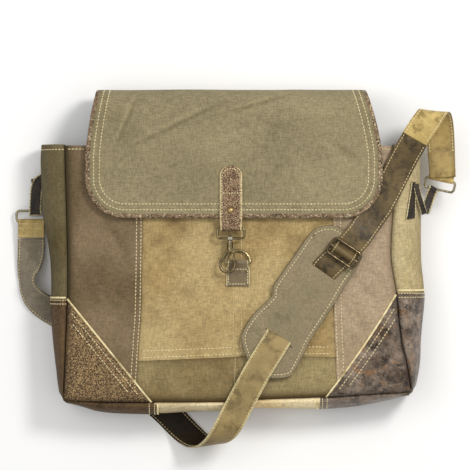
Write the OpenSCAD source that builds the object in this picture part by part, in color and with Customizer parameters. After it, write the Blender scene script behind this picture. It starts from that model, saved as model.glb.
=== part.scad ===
// Messenger bag lying on its back: canvas body, flap, clasp, and a leather shoulder strap
// that runs from the left ring under the bag, round its base, over the front, and curls
// over to the right ring. X is across the bag, Y runs from base to flap fold, Z is up.

/* [Bag body] */
// Left edge of the front panel from the middle of the bag
body_left = 195; // [185:1:205]
// Right edge of the front panel from the middle of the bag
body_right = 185; // [180:1:195]
// Base edge of the front panel below the middle
body_base = 157; // [150:1:160]
// Mouth edge above the middle
mouth_y = 142; // [138:1:146]
// Height of the front panel's face above the ground
front_z = 60.5; // [60:0.5:61]
// Thickness of a canvas panel
panel_t = 2.5; // [2:0.1:2.5]
// How far the left side folds out
bulge_left = 31; // [24:1:31]
// How far the right side folds out
bulge_right = 43; // [34:1:43]
// How far the base folds out
bulge_base = 12; // [6:1:14]
// Wall of the side and base folds, measured level
fold_wall = 3.2; // [2.8:0.1:4]
// Thickness of the leather on corners and base
corner_t = 1.2; // [0.8:0.1:1.4]

/* [Flap] */
// Half width of the flap's canvas
flap_half_w = 168; // [160:1:170]
// Lower edge of the flap's canvas
flap_low_y = 62; // [60:1:66]
// Corner radius of the flap's canvas
flap_corner_r = 41; // [30:1:45]
// Width of leather trim outside the canvas
trim_w = 5; // [3:0.5:5]
// Outer radius of the fold over the mouth
flap_fold_r = 37.5; // [37:0.5:38]

/* [Strap] */
// Width of the strap
strap_w = 32; // [30:0.5:32]
// Thickness of the strap
strap_t = 2.4; // [2:0.1:2.4]

/* [Shoulder pad] */
// Length of the pad
pad_l = 194; // [180:1:194]
// Width of the pad
pad_w = 74; // [68:1:74]
// Distance between the two slots
slot_span = 95; // [90:1:96]

/* [Metal parts] */
// Wire radius of the two side rings
side_wire_r = 1.4; // [1.2:0.1:1.5]
// Wire radius of the adjuster frame
frame_wire_r = 1.5; // [1.2:0.1:1.6]
// Wire radius of the D-ring
dring_wire_r = 1.5; // [1.3:0.1:1.6]
// Rod radius of the snap hook
hook_rod_r = 1.7; // [1.5:0.1:1.8]

/* [Hidden] */
$fn = 48;
eps = 0.02;
back_t = 3;
panel_z = front_z - panel_t;
corner_r = 20;
bulge_r = 32;
bulge_z = 30;
past_mouth = 20;
row_steps = [-1 : 0.5 : 1];
seam_left = -109.5;
seam_mid = 5.8;
seam_right = 117.7;
seam_low = -106;
split_left = -175;
split_right = 165;
// corner leather: how high it reaches up each side, and how far along the base
corner_left_y = -33;
corner_right_y = -27;
corner_left_x = -97;
corner_right_x = 102;
// flap: the fold axis lies just outside the canvas
hinge_z = 32;
fold_y = flap_fold_r + 170;
hinge_axis_y = fold_y + 0.5;
lining_t = 1;
flap_t = 1.5;
flap_top = hinge_z + flap_fold_r;
// where the flap's sides narrow towards the fold
flap_taper_y = 142;
fold_half_left = 156;
fold_half_right = 150;
// strap levels above the ground
ground_z = strap_t / 2 + 0.1;
under_pad_z = 62;
pad_low_z = 63.5;
pad_top_z = 67.9;
over_pad_z = 69.4;
// rings at the two sides
ring_in_w = 32;
ring_bar_gap = 13;
left_ring = [-238.8, 59.3, 6.5];
right_ring = [241, 96.5, 38];
right_ring_turn = -12;
loop_r = 4;
loop_bore_r = 1.7;
// clasp
clasp_x = -3.5;
clasp_bar_y = 45.3;
clasp_bar_low_y = 33.5;
clasp_z = flap_top + 1.2;
tab_t = 2.4;
tab_w = 26;
tab_top_y = 117.7;
clasp_wire_r = 1.4;
clasp_ring_w = 31.2;
hook_x = -4.5;
hook_c = [-7.5, 2.7];
hook_r = 8.6;
nose_angle = 12;
gate_pivot = [-0.5, 18.2];
bead_r = hook_rod_r + 0.2;
// D-ring
dring_x = 4.7;
dring_y = 5.2;
dring_z = 64;
dring_r = 14.3;
dring_droop = 6;
// adjuster
buckle_c = [127.9, 16.3];
buckle_z = 75.4;
buckle_turn = -34;
buckle_l = 38;
buckle_w = 20;
// pad
pad_c = [78.3, -42.8];
pad_turn = 55.7;
pad_corner_r = 26;
slot_w = 33;
slot_l = 7;

// ---- strap routes: points on the centreline and the way the width points there ----
left_route = [[-238.8, 32.5, 6.5], [-239, 15, 8], [-241, 0, 11], [-243.5, -13, 14.5],
    [-241, -27, 14.2], [-231, -41, 10.4], [-218, -50, 5.8], [-207, -56.5, ground_z],
    [-194, -64.4, ground_z], [-170, -87.1, ground_z], [-140, -115.5, ground_z]];
left_width = [[1, 0, 0], [0.98, 0, 0.15], [0.85, 0, 0.45], [0.6, 0.1, 0.76],
    [0.53, 0.36, 0.72], [0.6, 0.62, 0.48], [0.67, 0.72, 0.16], [0.687, 0.727, 0],
    [0.687, 0.727, 0], [0.687, 0.727, 0], [0.687, 0.727, 0]];
under_route = [[-140, -115.5, ground_z], [-104, -149.5, ground_z]];
under_width = [[0.687, 0.727, 0], [0.687, 0.727, 0]];
// loose turn round the base of the bag: where it leaves the ground, radius, axis, angle
base_turn = [[-68.6, -182.9, ground_z], 31, 8.5, 54.5];
front_route = [[7.6, -158, 64.2], [14, -146, 66.8], [19, -136.5, over_pad_z],
    [26, -123.5, over_pad_z], [38, -103.5, over_pad_z], [51.5, -82, over_pad_z]];
front_width = [for (p = front_route) [0.86, -0.51, 0]];
pad_route = [[51.5, -82, under_pad_z], [78.3, -42.8, under_pad_z], [105, -3.6, under_pad_z]];
pad_width = [for (p = pad_route) [0.826, -0.564, 0]];
upper_route = [[105.5, -3.8, over_pad_z], [118, 9, over_pad_z], [131, 21, over_pad_z],
    [141, 32, over_pad_z], [145, 36.6, 69.2], [149, 42, 67.4], [153, 48, 65.5], [159, 56.5, 63.8],
    [170, 72.5, 62.8], [183, 97, 62.7], [195, 121, 65], [203, 136, 69], [212, 151.5, 73]];
upper_width = [[0.826, -0.564, 0], [0.826, -0.564, 0], [0.826, -0.564, 0], [0.826, -0.564, 0],
    [0.826, -0.564, 0], [0.826, -0.564, 0], [0.83, -0.56, 0], [0.83, -0.56, 0],
    [0.85, -0.52, 0], [0.89, -0.46, 0], [0.88, -0.47, 0], [0.87, -0.5, 0], [0.86, -0.51, 0]];
// curl above the right ring
curl_turn = [[240.8, 155, 36], 20, 161.5, 71.5];
ring_route = [[244.4, 122.5, 37.8], [243, 133, 37]];
ring_width = [[-0.98, 0.2, 0], [-0.99, 0.1, 0]];
join_route = [[214, 155, 73.9], [212.3, 152, 73.1]];
join_width = [[-0.86, 0.51, 0], [-0.86, 0.51, 0]];

function unit(v) = v / norm(v);
function mix3(a, b, c, d, t) = 0.5 * (2 * b + (c - a) * t + (2 * a - 5 * b + 4 * c - d) * t * t
    + (3 * b - a - 3 * c + d) * t * t * t);
// a smooth curve through the points, k steps to a span
function smooth(p, k) = [for (i = [0 : len(p) - 2], j = [0 : k - 1])
    mix3(p[max(i - 1, 0)], p[i], p[i + 1], p[min(i + 2, len(p) - 1)], j / k), p[len(p) - 1]];
// rows of points across the strap, one row for each place on the route
function flat_rows(route, width) = [for (i = [0 : len(route) - 1])
    let(along = unit(route[min(i + 1, len(route) - 1)] - route[max(i - 1, 0)]),
        across = unit(width[i] - along * (width[i] * along)))
    [for (v = row_steps) route[i] + v * strap_w / 2 * across]];
// a level strap that rolls half a turn round a level cylinder and runs back above itself
function turn_point(turn, arc, side) = let(c = turn[0], r = turn[1],
    f = [cos(turn[2]), sin(turn[2]), 0], n = [sin(turn[2]), -cos(turn[2]), 0],
    a = arc / r * 180 / PI)
    c + f * side + (arc < 0 ? n * arc
        : a < 180 ? r * (sin(a) * n + (1 - cos(a)) * [0, 0, 1])
        : [0, 0, 2 * r] - n * (arc - PI * r));
function turn_rows(turn, lead) = let(b = turn[3], run = PI * turn[1] / sin(b),
    count = ceil(run / 8))
    [for (i = [0 : count]) let(s = -lead + (run + 2 * lead) * i / count)
        [for (v = row_steps) turn_point(turn, s * sin(b) - v * strap_w / 2 * cos(b),
            s * cos(b) + v * strap_w / 2 * sin(b))]];
function above_ground(rows) = [for (row = rows)
    [for (v = row) [v.x, v.y, max(v.z, ground_z)]]];

module rod(a, b, r) {
    d = b - a;
    translate(a)
        rotate([0, acos(d.z / norm(d)), atan2(d.y, d.x)])
            cylinder(h = norm(d), r = r);
}

// a strap of even thickness through rows of points
module strip(rows, t = strap_t) {
    n = len(rows);
    m = len(rows[0]);
    normals = [for (i = [0 : n - 1]) [for (j = [0 : m - 1])
        unit(cross(rows[min(i + 1, n - 1)][j] - rows[max(i - 1, 0)][j],
            rows[i][min(j + 1, m - 1)] - rows[i][max(j - 1, 0)]))]];
    points = [for (k = [1, -1], i = [0 : n - 1], j = [0 : m - 1])
        rows[i][j] + k * t / 2 * normals[i][j]];
    function a(i, j) = i * m + j;
    function b(i, j) = n * m + i * m + j;
    faces = [for (i = [0 : n - 2], j = [0 : m - 2])
        each [[a(i, j), a(i + 1, j + 1), a(i + 1, j)], [a(i, j), a(i, j + 1), a(i + 1, j + 1)],
            [b(i, j), b(i + 1, j), b(i + 1, j + 1)], [b(i, j), b(i + 1, j + 1), b(i, j + 1)]]];
    sides = [for (i = [0 : n - 2])
        each [[b(i, 0), a(i, 0), a(i + 1, 0)], [b(i, 0), a(i + 1, 0), b(i + 1, 0)],
            [b(i, m - 1), a(i + 1, m - 1), a(i, m - 1)],
            [b(i, m - 1), b(i + 1, m - 1), a(i + 1, m - 1)]]];
    ends = [for (j = [0 : m - 2])
        each [[b(0, j), b(0, j + 1), a(0, j + 1)], [b(0, j), a(0, j + 1), a(0, j)],
            [b(n - 1, j), a(n - 1, j + 1), b(n - 1, j + 1)],
            [b(n - 1, j), a(n - 1, j), a(n - 1, j + 1)]]];
    polyhedron(points, concat(faces, sides, ends));
}

// bag outline, grown all round, running past the mouth
module outline(left, right, base, r, grow) {
    x0 = -left - grow;
    x1 = right + grow;
    y0 = -base - grow;
    y1 = mouth_y + past_mouth;
    hull() {
        translate([x0 + r, y0 + r])
            circle(r, $fn = 32);
        translate([x1 - r, y0 + r])
            circle(r, $fn = 32);
        translate([x0, y1 - 1])
            square([x1 - x0, 1]);
    }
}

module flat_outline(grow = 0) {
    outline(body_left, body_right, body_base, corner_r, grow);
}

// the body's outer form between two levels: straight edges with a fold at mid height
module folded_form(grow, z0, z1) {
    hull() {
        translate([0, 0, z0])
            linear_extrude(eps)
                flat_outline(grow);
        translate([0, 0, bulge_z - 1])
            linear_extrude(2)
                outline(body_left + bulge_left, body_right + bulge_right,
                    body_base + bulge_base, bulge_r, grow);
        translate([0, 0, z1 - eps])
            linear_extrude(eps)
                flat_outline(grow);
    }
}

module body_fold() {
    folded_form(0, back_t, panel_z);
}

module fold_skin(x0, x1, y0, y1) {
    difference() {
        intersection() {
            body_fold();
            translate([x0, y0, 0])
                cube([x1 - x0, y1 - y0, front_z]);
        }
        folded_form(-fold_wall, back_t - eps, panel_z + eps);
    }
}

// leather laid over the folds
module leather_skin(x0, x1, y0, y1) {
    difference() {
        intersection() {
            folded_form(corner_t, back_t, panel_z);
            translate([x0, y0, 0])
                cube([x1 - x0, y1 - y0, front_z]);
        }
        folded_form(0, back_t - eps, panel_z + eps);
    }
}

module front_piece(x0, x1, y0, y1) {
    translate([0, 0, panel_z])
        linear_extrude(panel_t)
            intersection() {
                flat_outline();
                translate([x0, y0])
                    square([x1 - x0, y1 - y0]);
            }
}

// the way the strap runs under the body, seen from above
module strap_channel(w) {
    translate([base_turn[0].x, base_turn[0].y])
        rotate(136.6)
            translate([0, -w / 2])
                square([200, w]);
}

module back_panel() {
    color("#6b6048") {
        difference() {
            linear_extrude(back_t)
                intersection() {
                    flat_outline();
                    translate([-300, -300])
                        square([600, 300 + mouth_y]);
                }
            translate([0, 0, -1])
                linear_extrude(back_t + 2)
                    strap_channel(strap_w + 4);
        }
        translate([0, 0, back_t])
            linear_extrude(panel_t)
                intersection() {
                    flat_outline(-fold_wall - 1.5);
                    strap_channel(strap_w + 16);
                }
    }
}

module front_left_panel() {
    color("#8a7a5e") front_piece(-300, seam_left, -300, mouth_y);
}

module front_centre_left_panel() {
    color("#b39a66") front_piece(seam_left, seam_mid, seam_low, mouth_y);
}

module front_centre_right_panel() {
    color("#b39a66") front_piece(seam_mid, seam_right, seam_low, mouth_y);
}

module front_lower_panel() {
    color("#8d7d50") front_piece(seam_left, seam_right, -300, seam_low);
}

module front_right_panel() {
    color("#a8957a") front_piece(seam_right, 300, -300, mouth_y);
}

module gusset_left() {
    color("#7f7750") fold_skin(-300, split_left, -300, mouth_y);
}

module gusset_right() {
    color("#978a63") fold_skin(split_right, 300, -300, mouth_y);
}

module gusset_base() {
    color("#cbb98c") fold_skin(split_left, split_right, -300, -body_base + corner_r);
}

module corner_front(points) {
    translate([0, 0, front_z])
        linear_extrude(corner_t)
            intersection() {
                flat_outline();
                polygon(points);
            }
}

module corner_front_left() {
    color("#7a5a38")
        corner_front([[-300, corner_left_y], [-body_left, corner_left_y],
            [corner_left_x, -body_base], [corner_left_x, -300], [-300, -300]]);
}

module corner_front_right() {
    color("#4a3a30")
        corner_front([[300, corner_right_y], [body_right, corner_right_y],
            [corner_right_x, -body_base], [corner_right_x, -300], [300, -300]]);
}

module corner_side_left() {
    color("#5b452e") leather_skin(-300, split_left, -300, corner_left_y);
}

module corner_side_right() {
    color("#453429") leather_skin(split_right, 300, -300, corner_right_y);
}

module corner_base_left() {
    color("#5b452e") leather_skin(split_left, corner_left_x, -300, -body_base + corner_r);
}

module corner_base_right() {
    color("#453429") leather_skin(corner_right_x, split_right, -300, -body_base + corner_r);
}

// cloth bag inside the body, open at the mouth
module lining() {
    color("#5d5f4c")
        difference() {
            intersection() {
                folded_form(-fold_wall - 0.5, back_t + panel_t + 0.5, panel_z - 0.4);
                translate([-300, -300, 0])
                    cube([600, 300 + mouth_y - 2, front_z]);
            }
            folded_form(-fold_wall - 1.5, back_t + panel_t + 1.5, panel_z - 1.4);
        }
}

module flap_outline(half_w, low_y, r) {
    taper = half_w - flap_half_w;
    hull() {
        translate([-half_w + r, low_y + r])
            circle(r, $fn = 48);
        translate([half_w - r, low_y + r])
            circle(r, $fn = 48);
        translate([-half_w, flap_taper_y])
            square([2 * half_w, 1]);
        translate([-fold_half_left - taper, hinge_axis_y + 4])
            square([fold_half_left + fold_half_right + 2 * taper, 1]);
    }
}

// the flap in side view: a quarter turn from the fold, then level to past its lower edge
module flap_layer(r0, r1) {
    rotate([90, 0, 90])
        linear_extrude(400, center = true) {
            intersection() {
                translate([fold_y - flap_fold_r, hinge_z])
                    difference() {
                        circle(r1, $fn = 96);
                        circle(r0, $fn = 96);
                    }
                translate([fold_y - flap_fold_r, hinge_z + 0.3])
                    square([60, 60]);
            }
            translate([0, hinge_z + r0])
                square([fold_y - flap_fold_r, r1 - r0]);
        }
}

module flap_cut(r0, r1, grow) {
    intersection() {
        flap_layer(r0, r1);
        linear_extrude(100)
            flap_outline(flap_half_w + grow, flap_low_y - grow, flap_corner_r + grow);
    }
}

module flap_canvas() {
    color("#7d7853") flap_cut(flap_fold_r - flap_t, flap_fold_r, 0);
}

module flap_lining() {
    color("#5f5c45") flap_cut(flap_fold_r - flap_t - lining_t, flap_fold_r - flap_t, 0);
}

module flap_trim() {
    color("#54402f")
        difference() {
            flap_cut(flap_fold_r - flap_t - lining_t, flap_fold_r - 0.4, trim_w);
            linear_extrude(100)
                flap_outline(flap_half_w, flap_low_y, flap_corner_r);
        }
}

// back of the flap, from the back panel up to the fold
module flap_back() {
    r = hinge_z;
    color("#6b6048")
        intersection() {
            rotate([90, 0, 90])
                linear_extrude(400, center = true) {
                    translate([mouth_y, 0])
                        square([fold_y - r - mouth_y, panel_t]);
                    intersection() {
                        translate([fold_y - r, r])
                            difference() {
                                circle(r, $fn = 96);
                                circle(r - panel_t, $fn = 96);
                            }
                        translate([fold_y - r, 0])
                            square([r + 5, hinge_z - 0.3]);
                    }
                }
            linear_extrude(100)
                flap_outline(flap_half_w, flap_low_y, flap_corner_r);
        }
}

// ---- clasp on the flap ----
module clasp_tab() {
    color("#6f4f3c")
        difference() {
            union() {
                translate([clasp_x - tab_w / 2, clasp_bar_y, flap_top])
                    cube([tab_w, tab_top_y - tab_w / 2 - clasp_bar_y, tab_t]);
                translate([clasp_x, tab_top_y - tab_w / 2, flap_top])
                    cylinder(h = tab_t, r = tab_w / 2);
                translate([clasp_x - tab_w / 2 + 1, clasp_bar_y, clasp_z])
                    rotate([0, 90, 0])
                        cylinder(h = tab_w - 2, r = loop_r + 0.5);
            }
            translate([clasp_x - tab_w, clasp_bar_y, clasp_z])
                rotate([0, 90, 0])
                    cylinder(h = 2 * tab_w, r = loop_bore_r);
        }
}

module tab_rivet() {
    color("#b08d4a")
        translate([clasp_x - 0.5, 66, flap_top + tab_t])
            intersection() {
                translate([0, 0, -1.2])
                    sphere(4.4);
                cylinder(h = 5, r = 6);
            }
}

// closed wire loop with rounded corners, lying level
module wire_loop(w, h, corner, r) {
    for (s = [-1, 1]) {
        rod([-w / 2 + corner, s * h / 2, 0], [w / 2 - corner, s * h / 2, 0], r);
        rod([s * w / 2, -h / 2 + corner, 0], [s * w / 2, h / 2 - corner, 0], r);
    }
    for (i = [0 : 3])
        translate([[1, -1, -1, 1][i] * (w / 2 - corner), [1, 1, -1, -1][i] * (h / 2 - corner), 0])
            rotate(90 * i)
                rotate_extrude(angle = 90)
                    translate([corner, 0])
                        circle(r, $fn = 32);
}

module clasp_ring() {
    color("#8c8474")
        translate([clasp_x, (clasp_bar_y + clasp_bar_low_y) / 2, clasp_z])
            wire_loop(clasp_ring_w, clasp_bar_y - clasp_bar_low_y, 3, clasp_wire_r);
}

// swivel eye closed round the ring's lower bar, with a headed shank
module swivel_eye() {
    color("#c8c0a8")
        difference() {
            union() {
                translate([hook_x - 2.5, clasp_bar_low_y, clasp_z])
                    rotate([0, 90, 0])
                        cylinder(h = 5, r = 3.2);
                rod([hook_x, clasp_bar_low_y - 1.6, clasp_z], [hook_x, 22.6, clasp_z], 1.5);
                rod([hook_x, 24.4, clasp_z], [hook_x, 22.6, clasp_z], 2.4);
            }
            translate([hook_x - 5, clasp_bar_low_y, clasp_z])
                rotate([0, 90, 0])
                    cylinder(h = 10, r = clasp_wire_r);
        }
}

module snap_hook() {
    tip = hook_c + hook_r * [cos(nose_angle), sin(nose_angle)];
    // the straight side leaves the hook's circle at a tangent
    shank = [hook_x - 2, 21.5];
    reach = shank - hook_c;
    start_angle = atan2(reach.y, reach.x) + acos(hook_r / norm(reach));
    start = hook_c + hook_r * [cos(start_angle), sin(start_angle)];
    color("#5d5748")
        difference() {
            union() {
                rod([hook_x, 20, clasp_z], [hook_x, 29.2, clasp_z], 3.8);
                rod([start.x, start.y, clasp_z], [shank.x, shank.y, clasp_z], hook_rod_r);
                translate([start.x, start.y, clasp_z])
                    rotate([0, 90, start_angle - 90])
                        sphere(bead_r);
                translate([hook_c.x, hook_c.y, clasp_z])
                    rotate(start_angle)
                        rotate_extrude(angle = 360 - start_angle + nose_angle)
                            translate([hook_r, 0])
                                circle(hook_rod_r, $fn = 32);
                translate([tip.x, tip.y, clasp_z])
                    sphere(bead_r);
                for (s = [-1, 1])
                    translate([gate_pivot.x, gate_pivot.y, clasp_z + s * 2.2])
                        cylinder(h = 1.7, r = 2.2, center = true);
                translate([hook_x + 1, gate_pivot.y - 0.7, clasp_z - 2.9])
                    cube([4, 4.6, 5.8]);
            }
            // socket for the swivel's head, and its way in
            rod([hook_x, 21.8, clasp_z], [hook_x, 25.2, clasp_z], 2.8);
            rod([hook_x, 25, clasp_z], [hook_x, 30, clasp_z], 1.8);
            // room for the gate's eye between the ears
            translate([gate_pivot.x, gate_pivot.y, clasp_z])
                cylinder(h = 2.8, r = 2.7, center = true);
            translate([gate_pivot.x, gate_pivot.y, clasp_z - 4])
                cylinder(h = 8, r = 0.78);
        }
}

module gate_pin() {
    color("#b08d4a")
        translate([gate_pivot.x, gate_pivot.y, clasp_z - 3])
            cylinder(h = 6, r = 0.75);
}

module hook_gate() {
    tip = hook_c + hook_r * [cos(nose_angle), sin(nose_angle)];
    color("#4c473c")
        difference() {
            union() {
                translate([gate_pivot.x, gate_pivot.y, clasp_z])
                    cylinder(h = 2.2, r = 2.1, center = true);
                rod([gate_pivot.x + 0.3, gate_pivot.y - 1.2, clasp_z],
                    [tip.x - 0.1, tip.y + bead_r + 0.4, clasp_z], 1.05);
            }
            translate([gate_pivot.x, gate_pivot.y, clasp_z - 4])
                cylinder(h = 8, r = 0.9);
        }
}

// ---- D-ring on the front ----
module dring_patch() {
    color("#5e5148")
        difference() {
            union() {
                translate([-9.6, -22.5, front_z])
                    cube([28.5, 22.5 + dring_y, 2.8]);
                translate([dring_x - 12, dring_y, dring_z])
                    rotate([0, 90, 0])
                        cylinder(h = 24, r = 3.3);
            }
            translate([dring_x - 20, dring_y, dring_z])
                rotate([0, 90, 0])
                    cylinder(h = 40, r = 1.8);
        }
}

module d_ring() {
    color("#9a8a62")
        translate([dring_x, dring_y, dring_z])
            rotate([-dring_droop, 0, 0]) {
                rod([-dring_r, 0, 0], [dring_r, 0, 0], dring_wire_r);
                rotate_extrude(angle = 180)
                    translate([dring_r, 0])
                        circle(dring_wire_r, $fn = 32);
                for (s = [-1, 1])
                    translate([s * dring_r, 0, 0])
                        sphere(dring_wire_r);
            }
}

// ---- rings, tabs and wraps at the two sides ----
module side_ring() {
    wire_loop(ring_in_w + 2 * side_wire_r, ring_bar_gap, 4, side_wire_r);
}

// leather turned round a bar along X at the origin, its two plies running to y = reach
module bar_wrap(w, reach, plies_t, bore) {
    difference() {
        union() {
            translate([-w / 2, 0, 0])
                rotate([0, 90, 0])
                    cylinder(h = w, r = loop_r);
            translate([-w / 2, min(0, reach), -plies_t / 2])
                cube([w, abs(reach), plies_t]);
        }
        translate([-w, 0, 0])
            rotate([0, 90, 0])
                cylinder(h = 2 * w, r = bore);
    }
}

module ring_left() {
    color("#a9a18c")
        translate(left_ring)
            side_ring();
}

module strap_wrap_left() {
    color("#a8843f")
        translate(left_ring - [0, ring_bar_gap / 2, 0])
            bar_wrap(26, -18.8, 4.8, loop_bore_r);
}

module ring_right() {
    color("#a9a18c")
        translate(right_ring)
            rotate(right_ring_turn)
                side_ring();
}

module strap_wrap_right() {
    color("#a8843f")
        translate(right_ring)
            rotate(right_ring_turn)
                translate([0, ring_bar_gap / 2, 0])
                    bar_wrap(26, 15, 4.8, loop_bore_r);
}

module tab_left() {
    color("#43352a")
        difference() {
            translate(left_ring + [4.8, ring_bar_gap / 2, 0]) {
                bar_wrap(16, 38, panel_t, loop_bore_r);
                translate([-8, 8, -panel_t / 2])
                    cube([44, 30, panel_t]);
            }
            body_fold();
        }
}

module tab_right() {
    color("#43352a")
        difference() {
            translate(right_ring)
                rotate(right_ring_turn)
                    translate([-6, -ring_bar_gap / 2, 0]) {
                        bar_wrap(16, -34, panel_t, loop_bore_r);
                        translate([0, -34, 0])
                            rotate([0, 18, 0])
                                translate([-28, 0, -panel_t / 2])
                                    cube([28, 26, panel_t]);
                    }
            body_fold();
        }
}

// ---- strap ----
module strap_left_run() {
    color("#6e6656")
        strip(above_ground(flat_rows(smooth(left_route, 3), smooth(left_width, 3))));
}

module strap_front_run() {
    color("#9a7f45")
        strip(concat(flat_rows(under_route, under_width), turn_rows(base_turn, 13),
            flat_rows(smooth(front_route, 2), smooth(front_width, 2))));
}

module strap_pad_run() {
    color("#8b7340") strip(flat_rows(pad_route, pad_width));
}

module strap_upper_run() {
    color("#5f4f33") strip(flat_rows(smooth(upper_route, 2), smooth(upper_width, 2)));
}

module strap_top_run() {
    color("#b08f45")
        strip(concat(flat_rows(ring_route, ring_width), turn_rows(curl_turn, 7),
            flat_rows(join_route, join_width)));
}

// ---- adjuster ----
module at_buckle() {
    translate([buckle_c.x, buckle_c.y, 0])
        rotate(buckle_turn)
            children();
}

module buckle_frame() {
    color("#8f8468")
        at_buckle()
            translate([0, 0, buckle_z]) {
                wire_loop(buckle_l, buckle_w, 5, frame_wire_r);
                rod([-buckle_l / 2, 0, 0], [buckle_l / 2, 0, 0], 1.3);
            }
}

// the strap's outer ply, humped over the centre bar inside the frame
module strap_hump() {
    foot_z = over_pad_z + strap_t + 0.3;
    rise = buckle_z + 1.3 + 0.5 + strap_t / 2 - foot_z;
    s = [for (i = [-12 : 1.5 : 12]) i];
    mid = [for (v = s) foot_z + rise * (abs(v) < 7.5 ? pow(cos(12 * v), 2) : 0)];
    n = len(s);
    top = [for (i = [0 : n - 1]) [s[i], mid[i] + strap_t / 2]];
    low = [for (i = [0 : n - 1]) [s[n - 1 - i], mid[n - 1 - i] - strap_t / 2]];
    color("#7a6238")
        at_buckle()
            rotate([90, 0, 90])
                linear_extrude(29, center = true)
                    polygon(concat(top, low));
}

// ---- shoulder pad ----
module at_pad() {
    translate([pad_c.x, pad_c.y, 0])
        rotate(pad_turn)
            children();
}

module pad_outline() {
    dx = pad_l / 2 - pad_corner_r;
    dy = pad_w / 2 - pad_corner_r;
    difference() {
        union() {
            square([2 * dx, pad_w], center = true);
            square([pad_l, 2 * dy], center = true);
            for (x = [-dx, dx], y = [-dy, dy])
                translate([x, y])
                    circle(pad_corner_r);
        }
        for (s = [-1, 1])
            translate([s * (slot_span / 2 - slot_l / 2), 0])
                square([slot_l, slot_w], center = true);
    }
}

module pad_layer(z0, z1) {
    at_pad()
        translate([0, 0, z0])
            linear_extrude(z1 - z0)
                pad_outline();
}

module pad_face() {
    color("#777265") pad_layer(pad_top_z - 0.8, pad_top_z);
}

module pad_foam() {
    color("#4a4a48") pad_layer(pad_low_z + 0.9, pad_top_z - 0.8);
}

module pad_backing() {
    color("#57564c") pad_layer(pad_low_z, pad_low_z + 0.9);
}

// strap passing down through a slot of the pad
module slot_strap(side) {
    x0 = side * (slot_span / 2);
    x1 = side * (slot_span / 2 - slot_l);
    at_pad()
        rotate([90, 0, 0])
            linear_extrude(slot_w, center = true)
                polygon([[x0, pad_top_z], [x1, pad_top_z - 1.8], [x1, pad_low_z + 0.2],
                    [x0, pad_low_z + 2]]);
}

module pad_slot_low() {
    color("#9a7f45") slot_strap(-1);
}

module pad_slot_up() {
    color("#7a6238") slot_strap(1);
}

back_panel();
front_left_panel();
front_centre_left_panel();
front_centre_right_panel();
front_lower_panel();
front_right_panel();
gusset_left();
gusset_right();
gusset_base();
corner_front_left();
corner_front_right();
corner_side_left();
corner_side_right();
corner_base_left();
corner_base_right();
lining();
flap_back();
dring_patch();
tab_left();
tab_right();
strap_left_run();
strap_front_run();
strap_pad_run();
strap_upper_run();
strap_top_run();
flap_canvas();
flap_lining();
flap_trim();
clasp_tab();
tab_rivet();
clasp_ring();
swivel_eye();
snap_hook();
gate_pin();
hook_gate();
d_ring();
ring_left();
strap_wrap_left();
ring_right();
strap_wrap_right();
buckle_frame();
strap_hump();
pad_face();
pad_foam();
pad_backing();
pad_slot_low();
pad_slot_up();
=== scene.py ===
import math

import bmesh
import bpy
import numpy as np
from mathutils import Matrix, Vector, noise
from mathutils.kdtree import KDTree


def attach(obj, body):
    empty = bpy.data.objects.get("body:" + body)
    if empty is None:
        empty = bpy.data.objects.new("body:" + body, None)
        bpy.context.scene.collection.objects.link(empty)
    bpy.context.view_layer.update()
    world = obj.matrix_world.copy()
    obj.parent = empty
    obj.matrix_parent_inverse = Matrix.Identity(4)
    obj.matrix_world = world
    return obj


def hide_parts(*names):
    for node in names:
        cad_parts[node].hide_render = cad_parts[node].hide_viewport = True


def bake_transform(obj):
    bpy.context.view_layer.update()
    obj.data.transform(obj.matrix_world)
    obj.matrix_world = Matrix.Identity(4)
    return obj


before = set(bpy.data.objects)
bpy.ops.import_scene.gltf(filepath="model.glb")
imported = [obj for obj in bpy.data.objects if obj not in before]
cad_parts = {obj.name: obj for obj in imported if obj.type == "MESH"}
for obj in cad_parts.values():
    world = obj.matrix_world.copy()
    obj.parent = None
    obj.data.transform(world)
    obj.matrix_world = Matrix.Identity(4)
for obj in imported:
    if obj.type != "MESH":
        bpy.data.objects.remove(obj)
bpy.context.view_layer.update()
MM = 0.001


# ---------------------------------------------------------------- camera, floor, light
def add_camera():
    data = bpy.data.cameras.new("camera")
    data.sensor_width = 36.0
    data.lens = 324.7
    data.clip_end = 20.0
    cam = bpy.data.objects.new("camera", data)
    bpy.context.scene.collection.objects.link(cam)
    cam.location = (0.0012, 0.0373, 5.0)
    bpy.context.scene.camera = cam


def add_area(name, place, target, size, power, tint=(1, 1, 1)):
    data = bpy.data.lights.new(name, "AREA")
    data.shape = "DISK"
    data.size = size
    data.energy = power
    data.color = tint
    lamp = bpy.data.objects.new(name, data)
    lamp.location = place
    aim = Vector(target) - Vector(place)
    lamp.rotation_euler = aim.to_track_quat("-Z", "Y").to_euler()
    bpy.context.scene.collection.objects.link(lamp)


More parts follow.
